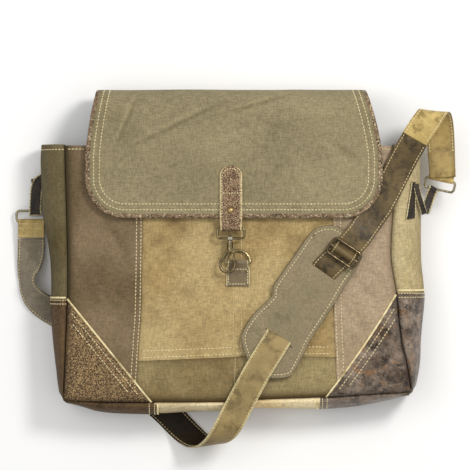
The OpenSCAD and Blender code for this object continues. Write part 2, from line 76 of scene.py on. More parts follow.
def add_world():
    """soft light that grows towards the zenith; the camera itself sees an even pale ground"""
    world = bpy.data.worlds.new("studio")
    bpy.context.scene.world = world
    world.use_nodes = True
    tree = world.node_tree
    sky = tree.nodes.new("ShaderNodeTexCoord")
    split = tree.nodes.new("ShaderNodeSeparateXYZ")
    ramp = tree.nodes.new("ShaderNodeMapRange")
    for key, value in (("From Min", 0.12), ("From Max", 0.8), ("To Min", 0.22), ("To Max", 0.78)):
        ramp.inputs[key].default_value = value
    tree.links.new(sky.outputs["Generated"], split.inputs["Vector"])
    tree.links.new(split.outputs["Z"], ramp.inputs["Value"])
    seen = tree.nodes.new("ShaderNodeLightPath")
    level = tree.nodes.new("ShaderNodeMix")
    level.inputs["B"].default_value = 0.95
    tree.links.new(seen.outputs["Is Camera Ray"], level.inputs["Factor"])
    tree.links.new(ramp.outputs["Result"], level.inputs["A"])
    tree.links.new(level.outputs["Result"], tree.nodes["Background"].inputs["Strength"])
    tree.nodes["Background"].inputs["Color"].default_value = (1.0, 0.992, 0.975, 1)


add_camera()
bpy.context.scene.view_settings.view_transform = "Standard"
add_world()
add_area("key", (0.95, 0.85, 1.55), (0, 0, 0), 0.55, 20, (1.0, 0.985, 0.96))
add_area("fill", (-1.0, 0.3, 1.7), (0, 0, 0), 1.2, 6, (0.98, 0.99, 1.0))


# ---------------------------------------------------------------- node helpers
def rgb(r, g, b):
    """display colour 0..255 to linear"""
    def one(c):
        c /= 255.0
        return c / 12.92 if c <= 0.04045 else ((c + 0.055) / 1.055) ** 2.4
    return (one(r), one(g), one(b), 1.0)


class Net:
    """a material's node tree, written as short expressions"""

    def __init__(self, name):
        self.mat = bpy.data.materials.new(name)
        self.mat.use_nodes = True
        self.tree = self.mat.node_tree
        self.shader = self.tree.nodes["Principled BSDF"]
        self.where = self.tree.nodes.new("ShaderNodeTexCoord").outputs["Object"]

    def put(self, socket, value):
        if isinstance(value, bpy.types.NodeSocket):
            self.tree.links.new(value, socket)
        else:
            socket.default_value = value

    def node(self, kind, **values):
        made = self.tree.nodes.new(kind)
        for key, value in values.items():
            self.put(made.inputs[key.replace("_", " ")], value)
        return made

    def stretched(self, scale, turn=(0, 0, 0)):
        made = self.node("ShaderNodeMapping", Vector=self.where, Scale=scale, Rotation=turn)
        return made.outputs["Vector"]

    def noise(self, scale, detail=4.0, rough=0.55, where=None, warp=0.0):
        made = self.node("ShaderNodeTexNoise", Vector=where or self.where, Scale=scale,
                         Detail=detail, Roughness=rough, Distortion=warp)
        return made.outputs["Fac"]

    def wave(self, scale, axis, where=None, warp=0.0):
        made = self.node("ShaderNodeTexWave", Vector=where or self.where, Scale=scale,
                         Distortion=warp, Detail=1.0)
        made.bands_direction = axis
        return made.outputs["Fac"]

    def cells(self, scale, where=None, feature="F1"):
        made = self.node("ShaderNodeTexVoronoi", Vector=where or self.where, Scale=scale)
        made.feature = feature
        return made.outputs["Distance"]

    def span(self, value, low, high, to_low=0.0, to_high=1.0):
        made = self.node("ShaderNodeMapRange")
        self.put(made.inputs["Value"], value)
        for key, v in (("From Min", low), ("From Max", high), ("To Min", to_low),
                       ("To Max", to_high)):
            made.inputs[key].default_value = v
        return made.outputs["Result"]

    def sum(self, op, a, b=0.0):
        made = self.tree.nodes.new("ShaderNodeMath")
        made.operation = op
        self.put(made.inputs[0], a)
        self.put(made.inputs[1], b)
        return made.outputs["Value"]

    def mix(self, factor, a, b, mode="MIX"):
        made = self.tree.nodes.new("ShaderNodeMix")
        made.data_type = "RGBA"
        made.blend_type = mode
        self.put(made.inputs[0], factor)
        self.put(made.inputs[6], a)
        self.put(made.inputs[7], b)
        return made.outputs[2]

    def painted(self, name):
        made = self.tree.nodes.new("ShaderNodeAttribute")
        made.attribute_name = name
        return made.outputs["Fac"]

    def bump(self, height, strength, distance, under=None):
        made = self.node("ShaderNodeBump", Height=height, Strength=strength, Distance=distance)
        if under is not None:
            self.put(made.inputs["Normal"], under)
        return made.outputs["Normal"]

    def finish(self, colour, rough, normal=None, metal=0.0, sheen=0.0, specular=0.5, coat=0.0):
        s = self.shader
        self.put(s.inputs["Base Color"], colour)
        self.put(s.inputs["Roughness"], rough)
        if normal is not None:
            self.put(s.inputs["Normal"], normal)
        s.inputs["Metallic"].default_value = metal
        s.inputs["Sheen Weight"].default_value = sheen
        s.inputs["Sheen Roughness"].default_value = 0.6
        s.inputs["Specular IOR Level"].default_value = specular
        s.inputs["Coat Weight"].default_value = coat
        return self.mat


def canvas(name, main, other, dark, fade_and_highlight=None, blotch=0.55, weave=1.0):
    """washed heavy canvas: warp and weft, fading in clouds, fuzz; painted shade from the 'shade'
    attribute beside seams and in creases, and fading with painted highlight from the 'tint' attribute
    """
    n = Net(name)
    cloud = n.span(n.noise(16, 5, 0.6, warp=0.6), 0.36, 0.66)
    colour = n.mix(cloud, main, other)
    small = n.span(n.noise(95, 4, 0.65), 0.42, 0.72)
    colour = n.mix(n.sum("MULTIPLY", small, blotch * 0.5), colour, dark)
    warp = n.noise(1.0, 3, 0.75, n.stretched((640, 140, 400)))
    weft = n.noise(1.0, 3, 0.75, n.stretched((140, 640, 400)))
    threads = n.span(n.sum("ADD", warp, weft), 0.76, 1.24, 0.70, 1.24)
    # tint mixes in a lighter colour: real fading, and painted highlight on slopes that face the light
    if fade_and_highlight is not None:
        colour = n.mix(n.painted("tint"), colour, fade_and_highlight)
    colour = n.mix(1.0, colour, threads, "MULTIPLY")
    colour = n.mix(n.painted("shade"), colour, dark)
    across = n.wave(330, "X", warp=1.2)
    along = n.wave(330, "Y", warp=1.2)
    cloth = n.sum("ADD", n.sum("MULTIPLY", across, along), n.sum("MULTIPLY", warp, 0.9))
    normal = n.bump(n.noise(26, 4, 0.5), 0.4, 0.005)
    normal = n.bump(cloth, 0.5 * weave, 0.0006, normal)
    return n.finish(colour, n.span(small, 0, 1, 0.88, 0.97), normal, sheen=0.03, specular=0.12)


def hide(name, main, light, deep, rough=(0.42, 0.7), grain=1.0, clouds=22.0, gloss=0.3,
         wear_and_sheen=0.5, edge=None, speck=(), speck_size=300.0, speck_part=0.5, fold=0.3,
         local_low=0.38, crumple=0.006):
    """pull-up leather: clouds of paler colour from rubbing, fine grain, paler along the edges from
    rubbing; painted shade and light from the 'shade' and 'tint' attributes; on leather_dark the light
    clouds and rub patches are also painted sheen
    """
    n = Net(name)
    cloud = n.span(n.noise(clouds, 6, 0.68, warp=0.9), 0.36, 0.64)
    colour = n.mix(cloud, main, light)
    patch = n.span(n.noise(clouds * 2.4, 5, 0.65, n.stretched((1, 1, 1), (0.4, 0.2, 0.8))),
                   0.50, 0.64)
    colour = n.mix(n.sum("MULTIPLY", patch, 0.8), colour, deep)
    for k, tone in enumerate(speck):
        spot = n.noise(speck_size * (1 + 0.3 * k), 3, 0.75,
                       n.stretched((1, 1, 1), (0.3 * k, 0.7 * k, 1.1 * k)))
        spot = n.span(spot, 0.64 - 0.2 * speck_part, 0.69 - 0.2 * speck_part)
        local = n.span(n.noise(38 + 17 * k, 3, 0.6), local_low, local_low + 0.2)
        colour = n.mix(n.sum("MULTIPLY", spot, local), colour, tone)
    creases = n.cells(520, n.stretched((1, 1, 1)), "DISTANCE_TO_EDGE")
    # rub patches lighten the colour; on leather_dark they are painted sheen as well
    rubbed_and_sheen = n.span(n.noise(150, 5, 0.75), 0.52, 0.68)
    colour = n.mix(n.sum("MULTIPLY", rubbed_and_sheen, wear_and_sheen * 0.5), colour, light)
    colour = n.mix(n.painted("shade"), colour, deep)
    colour = n.mix(n.painted("tint"), colour, light)
    if edge is not None:
        rim = n.span(n.painted("rim"), 0.25, 0.9)
        fray = n.span(n.noise(330, 4, 0.7), 0.30, 0.52)
        colour = n.mix(n.sum("MULTIPLY", rim, fray), colour, edge)
    normal = n.bump(n.noise(48, 5, 0.6, warp=1.6), fold, crumple)
    normal = n.bump(creases, 0.42 * grain, 0.0005, normal)
    normal = n.bump(n.noise(900, 3, 0.6), 0.25 * grain, 0.0004, normal)
    return n.finish(colour, n.span(cloud, 0, 1, rough[0], rough[1]), normal, specular=gloss)


def suede(name, main, other, dark):
    """napped leather: brushed clouds and a soft fuzz"""
    n = Net(name)
    cloud = n.span(n.noise(26, 5, 0.6, warp=1.2), 0.36, 0.66)
    colour = n.mix(cloud, main, other)
    nap = n.span(n.noise(1.0, 4, 0.75, n.stretched((460, 460, 460))), 0.34, 0.66, 0.76, 1.2)
    colour = n.mix(1.0, colour, nap, "MULTIPLY")
    mark = n.span(n.noise(60, 4, 0.6), 0.56, 0.74)
    colour = n.mix(n.sum("MULTIPLY", mark, 0.35), colour, dark)
    colour = n.mix(n.painted("tint"), colour, other)
    colour = n.mix(n.painted("shade"), colour, dark)
    normal = n.bump(n.noise(45, 4, 0.55), 0.35, 0.0025)
    normal = n.bump(n.noise(1300, 3, 0.7), 0.5, 0.0005, normal)
    return n.finish(colour, 0.93, normal, sheen=0.05, specular=0.12)


def metal(name, main, dark, rough=0.34, patina=0.6):
    """plated or cast metal with patina in patches and fine scratches"""
    n = Net(name)
    age = n.span(n.noise(180, 5, 0.65, warp=0.8), 0.40, 0.66)
    colour = n.mix(n.sum("MULTIPLY", age, patina), main, dark)
    fine = n.noise(1.0, 3, 0.6, n.stretched((2600, 300, 2600), (0, 0, 0.6)))
    roughness = n.span(n.sum("ADD", age, fine), 0.3, 1.6, rough * 0.75, rough * 1.7)
    normal = n.bump(fine, 0.16, 0.0003)
    normal = n.bump(n.noise(420, 3, 0.5), 0.18, 0.0006, normal)
    return n.finish(colour, roughness, normal, metal=1.0)


def thread(name, main, dark):
    n = Net(name)
    tone = n.mix(n.span(n.noise(90, 3, 0.6), 0.35, 0.7), main, dark)
    ply = n.wave(900, "DIAGONAL")
    tone = n.mix(n.sum("MULTIPLY", ply, 0.25), tone, dark)
    return n.finish(tone, 0.8, n.bump(ply, 0.6, 0.0003), sheen=0.2, specular=0.3)


MAT = {
    "flap": canvas("canvas_flap", rgb(146, 135, 104), rgb(135, 125, 95), rgb(88, 80, 52),
                   rgb(158, 146, 113)),
    "left": canvas("canvas_taupe", rgb(124, 106, 80), rgb(108, 92, 66), rgb(70, 58, 38),
                   rgb(140, 120, 94)),
    "tan": canvas("canvas_tan", rgb(184, 160, 110), rgb(168, 142, 94), rgb(96, 72, 42),
                  rgb(196, 174, 126), blotch=0.7),
    "moss": canvas("canvas_moss", rgb(132, 113, 75), rgb(156, 138, 98), rgb(72, 57, 30),
                   rgb(160, 143, 102)),
    "rose": canvas("canvas_rose", rgb(176, 156, 128), rgb(162, 140, 109), rgb(104, 85, 60),
                   rgb(186, 164, 138)),
    "side_left": canvas("canvas_side_left", rgb(108, 96, 66), rgb(96, 84, 54),
                        rgb(40, 34, 18), rgb(122, 110, 80)),
    "side_right": canvas("canvas_side_right", rgb(196, 179, 137), rgb(182, 164, 119),
                         rgb(96, 80, 50), rgb(206, 190, 150)),
    "cream": canvas("canvas_cream", rgb(255, 232, 180), rgb(250, 220, 164), rgb(104, 76, 40),
                    rgb(255, 240, 198)),
    "back": canvas("canvas_back", rgb(120, 109, 78), rgb(106, 94, 64), rgb(64, 54, 32)),
    "lining": canvas("lining_cloth", rgb(104, 100, 82), rgb(90, 86, 70), rgb(48, 45, 34),
                     weave=0.6),
    "brown": hide("leather_brown", rgb(88, 70, 50), rgb(110, 88, 62), rgb(48, 37, 28),
                  rough=(0.65, 0.85), gloss=0.15, clouds=26.0, wear_and_sheen=0.3,
                  speck=(rgb(222, 194, 142), rgb(42, 31, 24), rgb(186, 154, 108),
                         rgb(64, 48, 37)), speck_size=440.0, speck_part=0.85, local_low=0.2),
    "brown_side": hide("leather_brown_side", rgb(76, 58, 40), rgb(98, 78, 54),
                       rgb(36, 27, 20), rough=(0.6, 0.8), gloss=0.15,
                       speck=(rgb(124, 94, 64), rgb(46, 36, 27)), speck_part=0.6),
    # leather_dark: its light colour in clouds and rub patches is partly painted sheen, the glossy
    # highlights of the creased leather
    "dark": hide("leather_dark", rgb(92, 74, 58), rgb(160, 142, 124), rgb(46, 33, 24),
                 rough=(0.24, 0.5), gloss=0.6, clouds=34.0, wear_and_sheen=0.8, fold=1.0, crumple=0.016,
                 speck=(rgb(150, 104, 58), rgb(42, 31, 24)), speck_size=75.0, speck_part=0.35),
    "speckled": hide("leather_speckled", rgb(106, 81, 61), rgb(134, 108, 83), rgb(60, 44, 33),
                     rough=(0.7, 0.9), gloss=0.15, clouds=60.0, wear_and_sheen=0.2,
                     speck=(rgb(192, 166, 132), rgb(72, 53, 41)),
                     speck_size=620.0, speck_part=0.76, edge=rgb(222, 204, 156),
                     local_low=0.2),
    "trim": hide("leather_trim", rgb(98, 81, 60), rgb(148, 130, 102), rgb(36, 28, 21),
                 rough=(0.7, 0.9), gloss=0.15, clouds=70.0,
                 speck=(rgb(216, 200, 166), rgb(30, 23, 18), rgb(126, 100, 76)),
                 speck_size=400.0, speck_part=0.85, local_low=0.3),
    "patch": hide("leather_patch", rgb(112, 98, 76), rgb(136, 122, 96), rgb(58, 48, 36),
                  rough=(0.7, 0.85), gloss=0.15, edge=rgb(214, 198, 152)),
    "tab": hide("leather_tab", rgb(40, 33, 26), rgb(70, 58, 44), rgb(20, 16, 13),
                rough=(0.4, 0.65), edge=rgb(232, 220, 170)),
    "grey": suede("suede_grey", rgb(142, 132, 115), rgb(124, 114, 98), rgb(66, 58, 46)),
    "pad": suede("suede_pad", rgb(145, 130, 103), rgb(133, 123, 96), rgb(72, 62, 44)),
    "gold": hide("leather_gold", rgb(160, 136, 80), rgb(204, 178, 112), rgb(112, 90, 46),
                 rough=(0.42, 0.65), wear_and_sheen=0.8),
    "front": hide("leather_front", rgb(130, 111, 70), rgb(166, 144, 96), rgb(68, 53, 26),
                  rough=(0.46, 0.68), wear_and_sheen=0.8, clouds=26.0, edge=rgb(214, 200, 150)),
    "olive": hide("leather_olive", rgb(74, 60, 34), rgb(112, 94, 60), rgb(36, 28, 15),
                  rough=(0.42, 0.62), wear_and_sheen=0.6, clouds=26.0),
    "black": hide("leather_black", rgb(44, 36, 23), rgb(60, 50, 34), rgb(24, 19, 12),
                  rough=(0.5, 0.7), wear_and_sheen=0.2, gloss=0.15),
    "ply": hide("leather_ply", rgb(206, 192, 158), rgb(226, 214, 184), rgb(120, 100, 72),
                rough=(0.7, 0.9), grain=0.6, gloss=0.15),
    "ply_dark": hide("leather_ply_dark", rgb(84, 74, 60), rgb(178, 166, 140), rgb(34, 28, 22),
                     rough=(0.6, 0.85), grain=0.6, clouds=60.0, gloss=0.15),
    "raw": hide("leather_raw", rgb(232, 214, 162), rgb(242, 228, 184), rgb(150, 128, 84),
                rough=(0.7, 0.9), grain=0.5, gloss=0.15),
    "thread": thread("thread_cream", rgb(248, 236, 192), rgb(222, 202, 148)),
    "thread_dim": thread("thread_dim", rgb(232, 214, 164), rgb(196, 172, 118)),
    "bronze": metal("bronze_antique", rgb(138, 124, 92), rgb(36, 30, 22), 0.24),
    "ring": metal("bronze_ring", rgb(176, 160, 120), rgb(50, 42, 30), 0.25),
    "brass": metal("brass_antique", rgb(190, 164, 116), rgb(104, 82, 50), 0.45),
    "nickel": metal("nickel_aged", rgb(158, 148, 120), rgb(48, 42, 32), 0.22),
    "steel": metal("steel_aged", rgb(112, 98, 74), rgb(36, 30, 22), 0.24),
    "bright": metal("nickel_bright", rgb(206, 198, 180), rgb(96, 88, 72), 0.2, 0.5),
    # near-black cloth laid in the pad's slits and the tab's eyelet as painted shadow
    "hole_shadow": canvas("slit_shadow", rgb(34, 29, 22), rgb(26, 22, 17), rgb(12, 10, 8)),
}


# ---------------------------------------------------------------- mesh helpers (millimetres)
def unit(v):
    v = np.asarray(v, float)
    return v / np.maximum(np.linalg.norm(v, axis=-1, keepdims=True), 1e-9)


def smoothstep(v, low=0.0, high=1.0):
    t = np.clip((np.asarray(v, float) - low) / (high - low), 0, 1)
    return t * t * (3 - 2 * t)


def wob(x, y, scale, seed=0.0):
    """soft repeatable noise of about -1..1, scale in mm"""
    x, y = np.broadcast_arrays(np.asarray(x, float), np.asarray(y, float))
    out = np.empty(x.shape)
    for i in np.ndindex(x.shape):
        out[i] = noise.noise(Vector((x[i] / scale, y[i] / scale, seed)))
    return out * 1.6


def add_mesh(name, verts, faces, mats, which=None, smooth=True, paint=None):
    mesh = bpy.data.meshes.new(name)
    mesh.from_pydata([tuple(float(c) * MM for c in v) for v in verts], [],
                     [tuple(int(i) for i in f) for f in faces])
    for m in mats:
        mesh.materials.append(m)
    if which is not None:
        mesh.polygons.foreach_set("material_index", np.asarray(which, dtype=np.int32))
    mesh.polygons.foreach_set("use_smooth", [smooth] * len(mesh.polygons))
    for key, values in (paint or {}).items():
        layer = mesh.attributes.new(key, "FLOAT", "POINT")
        layer.data.foreach_set("value", np.asarray(values, dtype=np.float32))
    mesh.update()
    obj = bpy.data.objects.new(name, mesh)
    bpy.context.scene.collection.objects.link(obj)
    return obj


def soften(obj, width=0.35, segments=2, angle=38):
    mod = obj.modifiers.new("soften", "BEVEL")
    mod.width = width * MM
    mod.segments = segments
    mod.limit_method = "ANGLE"
    mod.angle_limit = math.radians(angle)
    mod.harden_normals = False
    settle(obj)


def settle(obj):
    """applies an object's modifiers"""
    graph = bpy.context.evaluated_depsgraph_get()
    graph.update()
    made = bpy.data.meshes.new_from_object(obj.evaluated_get(graph))
    old = obj.data
    obj.modifiers.clear()
    obj.data = made
    made.name = old.name + "_done"


def points_of(mesh):
    """a mesh's points in mm"""
    out = np.empty(len(mesh.vertices) * 3, np.float32)
    mesh.vertices.foreach_get("co", out)
    return out.reshape(-1, 3).astype(float) / MM


def tree_of(points):
    tree = KDTree(len(points))
    for i, p in enumerate(points):
        tree.insert(p, i)
    tree.balance()
    return tree


def swell(obj, free, cap, frames=20, pressure=7.0, grain=2.6):
    """cloth simulation of a remeshed copy under inner pressure. Its swelling moves the piece
    where 'free' is above 0, so seams and sewn channels keep their form"""
    copy = bpy.data.objects.new(obj.name + "_copy", obj.data.copy())
    bpy.context.scene.collection.objects.link(copy)
    grid = copy.modifiers.new("grid", "REMESH")
    grid.mode = "VOXEL"
    grid.voxel_size = grain * MM
    settle(copy)
    fine, rough = points_of(obj.data), points_of(copy.data)
    near = tree_of(fine)
    group = copy.vertex_groups.new(name="held")
    for i, p in enumerate(rough):
        group.add([i], 1.0 - float(free[near.find(p)[1]]), "REPLACE")
    cloth = copy.modifiers.new("cloth", "CLOTH").settings
    cloth.vertex_group_mass = "held"
    cloth.use_pressure = True
    cloth.uniform_pressure_force = pressure
    cloth.effector_weights.gravity = 0
    scene = bpy.context.scene
    for step in range(1, frames + 1):
        scene.frame_set(step)
    done = copy.evaluated_get(bpy.context.evaluated_depsgraph_get()).data
    move = points_of(done) - rough
    copy.modifiers.clear()
    scene.frame_set(1)
    size = np.linalg.norm(move, axis=1, keepdims=True)
    move *= np.minimum(1.0, cap / np.maximum(size, 1e-6))
    near = tree_of(rough)
    for i in np.flatnonzero(free > 0):
        found = near.find_n(fine[i], 5)
        weight = np.array([1 / (0.5 + f[2]) for f in found])
        shift = sum(w * move[f[1]] for w, f in zip(weight, found)) / weight.sum()
        fine[i] += shift * free[i]
    obj.data.vertices.foreach_set("co", (fine * MM).astype(np.float32).ravel())
    obj.data.update()
    bpy.data.objects.remove(copy)


def place(obj, body, nodes=(), slot=None):
    """the piece rides on a body and stands for CAD nodes"""
    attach(obj, body)
    if nodes:
        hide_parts(*nodes)
    return obj


def sheet_faces(n, m, k):
    """faces of a grid of n by m points, and of its twin k points later, turned over"""
    faces, which = [], []
    for i in range(n - 1):
        for j in range(m - 1):
            a, d = i * m + j, (i + 1) * m + j
            faces += [(a, a + 1, d + 1, d), (k + d, k + d + 1, k + a + 1, k + a)]
            which += [0, 1]
    return faces, which


def tube_faces(n, m):
    """faces round a tube of n rings with m points each"""
    return [(i * m + j, i * m + (j + 1) % m, (i + 1) * m + (j + 1) % m, (i + 1) * m + j)
            for i in range(n - 1) for j in range(m)]


def slab(name, top, thick, mats, down=(0, 0, -1), paint=None, low=None):
    """closed sheet: a grid of outer points and the same grid moved inward"""
    top = np.asarray(top, float)
    n, m = top.shape[:2]
    low = top + np.asarray(down, float) * thick if low is None else np.asarray(low, float)
    verts = np.concatenate([top.reshape(-1, 3), low.reshape(-1, 3)])
    k = n * m
    faces, which = sheet_faces(n, m, k)
    ring = [(0, j) for j in range(m)] + [(i, m - 1) for i in range(1, n)]
    ring += [(n - 1, j) for j in range(m - 2, -1, -1)] + [(i, 0) for i in range(n - 2, 0, -1)]
    ids = [i * m + j for i, j in ring]
    for a, b in zip(ids, ids[1:] + ids[:1]):
        faces.append((b, a, k + a, k + b))
        which.append(2)
    mats = (list(mats) + [mats[0]] * 2)[:3]
    both = {key: np.concatenate([np.ravel(v), np.ravel(v)]) for key, v in (paint or {}).items()}
    obj = add_mesh(name, verts, faces, mats, which, True, both)
    turn_out(obj)
    return obj


def turn_out(obj):
    """faces look outward, whichever way the grid ran"""
    bm = bmesh.new()
    bm.from_mesh(obj.data)
    bmesh.ops.recalc_face_normals(bm, faces=bm.faces)
    bm.to_mesh(obj.data)
    bm.free()


# a strap's points across, from one edge (-1) to the other (1), the rise of its face at each,
# and the index of the middle one
ACROSS = np.array([-1, -.97, -.91, -.85, -.79, -.62, -.3, 0, .3, .62, .79, .85, .91, .97, 1])
CROWN = np.array([.55, .98, 1.1, .86, 1.1, 1.24, 1.3, 1.32, 1.3, 1.24, 1.1, .86, 1.1, .98, .55])
MID = 7


def ribbon(name, rows, thick, mats, paint=None):
    """two plies of leather on rows of points across: crowned, grooved under its stitches,
    with a line between the plies along each edge. mats: names for face, back, edge"""
    rows = np.asarray(rows, float)
    n, m = rows.shape[:2]
    along = np.gradient(rows, axis=0)
    over = np.gradient(rows, axis=1)
    normal = unit(np.cross(along, over))
    half = thick / 2.4
    top = rows + normal * (CROWN * half)[None, :, None]
    low = rows - normal * ((1.1 + (CROWN - 1.1) * 0.6) * half)[None, :, None]
    inner = [rows[:, 0] + (rows[:, 1] - rows[:, 0]) * 0.8,
             rows[:, -1] + (rows[:, -2] - rows[:, -1]) * 0.8]
    verts = np.concatenate([top.reshape(-1, 3), low.reshape(-1, 3), inner[0], inner[1]])
    k, e0, e1 = n * m, 2 * n * m, 2 * n * m + n
    faces, which = sheet_faces(n, m, k)
    for i in range(n - 1):
        for j, e in ((0, e0), (m - 1, e1)):
            a, d = i * m + j, (i + 1) * m + j
            faces += [(a, d, e + i + 1, e + i), (e + i, e + i + 1, k + d, k + a)]
            which += [2, 2]
    for i in (0, n - 1):
        ids = [i * m + j for j in range(m)] + [e1 + i]
        ids += [k + i * m + j for j in range(m - 1, -1, -1)] + [e0 + i]
        faces.append(tuple(ids))
        which.append(2)
    rim = np.tile(np.clip((np.abs(ACROSS) - 0.82) / 0.14, 0, 1), n)
    done = {"rim": np.concatenate([rim, rim, np.ones(2 * n)])}
    for key, v in (paint or {}).items():
        flat = np.repeat(np.asarray(v, float), m) if np.ndim(v) == 1 else np.ravel(v)
        done[key] = np.concatenate([flat, flat, np.zeros(2 * n)])
    obj = add_mesh(name, verts, faces, [MAT[m] for m in mats], which, True, done)
    turn_out(obj)
    return obj, top, low


def upper_first(top, low, row):
    """a ribbon's two faces, beginning with the one that is higher at a row"""
    return (top, low) if top[row, MID, 2] > low[row, MID, 2] else (low, top)


def swap_faces(obj):
    mats = obj.data.materials
    mats[0], mats[1] = mats[1], mats[0]


def walk(points, pitch):
    """points at even spacing along a polyline"""
    p = np.asarray(points, float)
    step = np.linalg.norm(np.diff(p, axis=0), axis=1)
    run = np.concatenate([[0], np.cumsum(step)])
    count = max(2, int(round(run[-1] / pitch)) + 1)
    at = np.linspace(0, run[-1], count)
    return np.stack([np.interp(at, run, p[:, k]) for k in range(3)], axis=1)


class Seam:
    """all the stitches of one body, gathered into one piece"""

    def __init__(self):
        self.verts, self.faces = [], []

    def line(self, path, length=2.9, gap=1.3, r=0.6, lift=0.12, up=(0, 0, 1)):
        pts = walk(path, 0.45)
        run = np.concatenate([[0], np.cumsum(np.linalg.norm(np.diff(pts, axis=0), axis=1))])
        up = unit(up) if np.ndim(up) == 1 else None
        at = gap / 2
        while at + length < run[-1]:
            ends = np.stack([np.interp([at, at + length], run, pts[:, k]) for k in range(3)], 1)
            self.stitch(ends[0], ends[1], r, lift, up)
            at += length + gap
        return self

    def stitch(self, a, b, r, lift, up):
        d = unit(b - a)
        side = unit(np.cross(d, up))
        top = np.cross(side, d)
        base = len(self.verts)
        for t, s in ((0.0, 0.35), (0.14, 0.85), (0.5, 1.08), (0.86, 0.85), (1.0, 0.35)):
            c = a + (b - a) * t + top * (lift - (0.28 if t in (0.0, 1.0) else 0.0) * r)
            for q in range(6):
                w = q * math.pi / 3
                self.verts.append(c + r * s * (math.cos(w) * side + math.sin(w) * top))
        for i in range(4):
            for q in range(6):
                p = (q + 1) % 6
                self.faces.append((base + 6 * i + q, base + 6 * i + p,
                                   base + 6 * i + 6 + p, base + 6 * i + 6 + q))
        self.faces.append(tuple(base + q for q in range(5, -1, -1)))
        self.faces.append(tuple(base + 24 + q for q in range(6)))

    def build(self, name, material):
        obj = add_mesh(name, self.verts, self.faces, [MAT[material]])
        turn_out(obj)
        return obj


def curve_of(points):
    """y value as a smooth function of x through a few points"""
    p = np.asarray(sorted(points), float)

    def f(x):
        x = np.clip(np.asarray(x, float), p[0, 0], p[-1, 0])
        i = np.clip(np.searchsorted(p[:, 0], x, side="right") - 1, 0, len(p) - 2)
        a, b = p[i], p[i + 1]
        before, after = p[np.maximum(i - 1, 0)], p[np.minimum(i + 2, len(p) - 1)]
        t = (x - a[..., 0]) / (b[..., 0] - a[..., 0])
        ma = (b[..., 1] - before[..., 1]) / (b[..., 0] - before[..., 0])
        mb = (after[..., 1] - a[..., 1]) / (after[..., 0] - a[..., 0])
        w = b[..., 0] - a[..., 0]
        h = (2 * t**3 - 3 * t**2 + 1) * a[..., 1] + (t**3 - 2 * t**2 + t) * ma * w
        return h + (-2 * t**3 + 3 * t**2) * b[..., 1] + (t**3 - t**2) * mb * w
    return f


# ---------------------------------------------------------------- body of the bag
MOUTH = 142.0
left_edge = curve_of([(-156, -199), (-137, -198), (-85, -195.7), (-27, -193.7), (45, -194.6),
                      (134, -196.9), (145, -197)])
right_edge = curve_of([(-150, 207.5), (-117, 202), (-86, 195), (-28, 188.7), (12, 183),
                       (72, 185.2), (145, 186)])
base_edge = curve_of([(-199, -156), (-150, -157.4), (0, -157.5), (26, -155), (104, -152),
                      (151, -149), (207, -146)])
left_out = curve_of([(-156, 1.2), (-147, 5.5), (-126, 9.5), (-95, 14), (-66, 18), (-34, 20.5),
                     (-4, 20.5), (16, 22.5), (49, 28), (69, 29.5), (123, 30), (142, 29)])
right_out = curve_of([(-150, 2), (-125, 12), (-93, 22), (-54, 30), (-30, 34), (-10, 36),
                      (15, 36.5), (52, 34.5), (100, 33), (142, 33)])
base_out = curve_of([(-199, 1), (-179, 5), (-161, 9.6), (-128, 12.3), (-90, 12.8), (-22, 10.5),
                     (25, 9.8), (95, 13), (136, 12.5), (175, 8), (207, 1.5)])
FOLD = np.array([(0.0, 53.6), (0.10, 57.0), (0.26, 57.9), (0.48, 55.2), (0.70, 49.5),
                 (0.88, 41.5), (0.98, 33), (1.0, 27), (0.94, 18), (0.78, 10.5), (0.5, 5.6),
                 (0.2, 3.6), (0.0, 3.2)])


def edge_drop(x, y):
    """how far the front sinks towards its seams"""
    d = np.minimum(x - left_edge(y), right_edge(y) - x)
    d = np.minimum(d, y - base_edge(x))
    d = np.maximum(d, 0)
    return 2.6 * np.exp(-d / 2.6) + 1.8 * np.exp(-d / 16.0)


CREASES = [((-160, 60), (-120, -10), 7, -0.9), ((-185, 20), (-150, -60), 6, 0.7),
           ((-180, 95), (-150, 50), 6, -0.8), ((-60, 20), (20, -40), 9, 0.6),
           ((-95, -20), (-60, -90), 8, -0.7), ((135, -10), (175, -70), 7, -1.0),
           ((150, 20), (180, -30), 6, 0.8), ((130, -70), (165, -110), 6, 0.8),
           ((-80, -125), (0, -120), 7, -0.7), ((20, -125), (90, -135), 7, 0.6),
           ((30, 40), (90, 20), 8, -0.6), ((140, -40), (150, -120), 5, -0.7)]


def ridge(x, y, a, b, width, height):
    a, b = np.asarray(a, float), np.asarray(b, float)
    run = b - a
    long2 = run @ run
    t = ((x - a[0]) * run[0] + (y - a[1]) * run[1]) / long2
    c = np.clip(t, 0, 1)
    bow = 4.0 * np.sin(np.pi * c) * width / 7.0
    nx, ny = -run[1] / math.sqrt(long2), run[0] / math.sqrt(long2)
    d = np.hypot(x - a[0] - c * run[0] - nx * bow, y - a[1] - c * run[1] - ny * bow)
    return height * np.exp(-(d / width) ** 2) * np.sin(np.pi * np.clip(c, 0.04, 0.96))


def light_slope(x, y, z):
    """how much a surface turns away from a light at the upper right, for the painted light and shade on
    its folds
    """
    down = np.gradient(z, axis=1) / np.gradient(x, axis=1) * 0.7
    return down + np.gradient(z, axis=0) / np.gradient(y, axis=0) * 0.7


def front_height(x, y, level):
    x, y = np.broadcast_arrays(np.asarray(x, float), np.asarray(y, float))
    z = level - edge_drop(x, y) + 0.55 * wob(x, y, 70, 3.1) + 0.25 * wob(x, y, 24, 8.7)
    for a, b, w, h in CREASES:
        z = z + ridge(x, y, a, b, w, h)
    under_strap = np.where((x > 110) & (y > 0), 0.6, 0.0)
    return np.minimum(z - under_strap, level + 0.7)


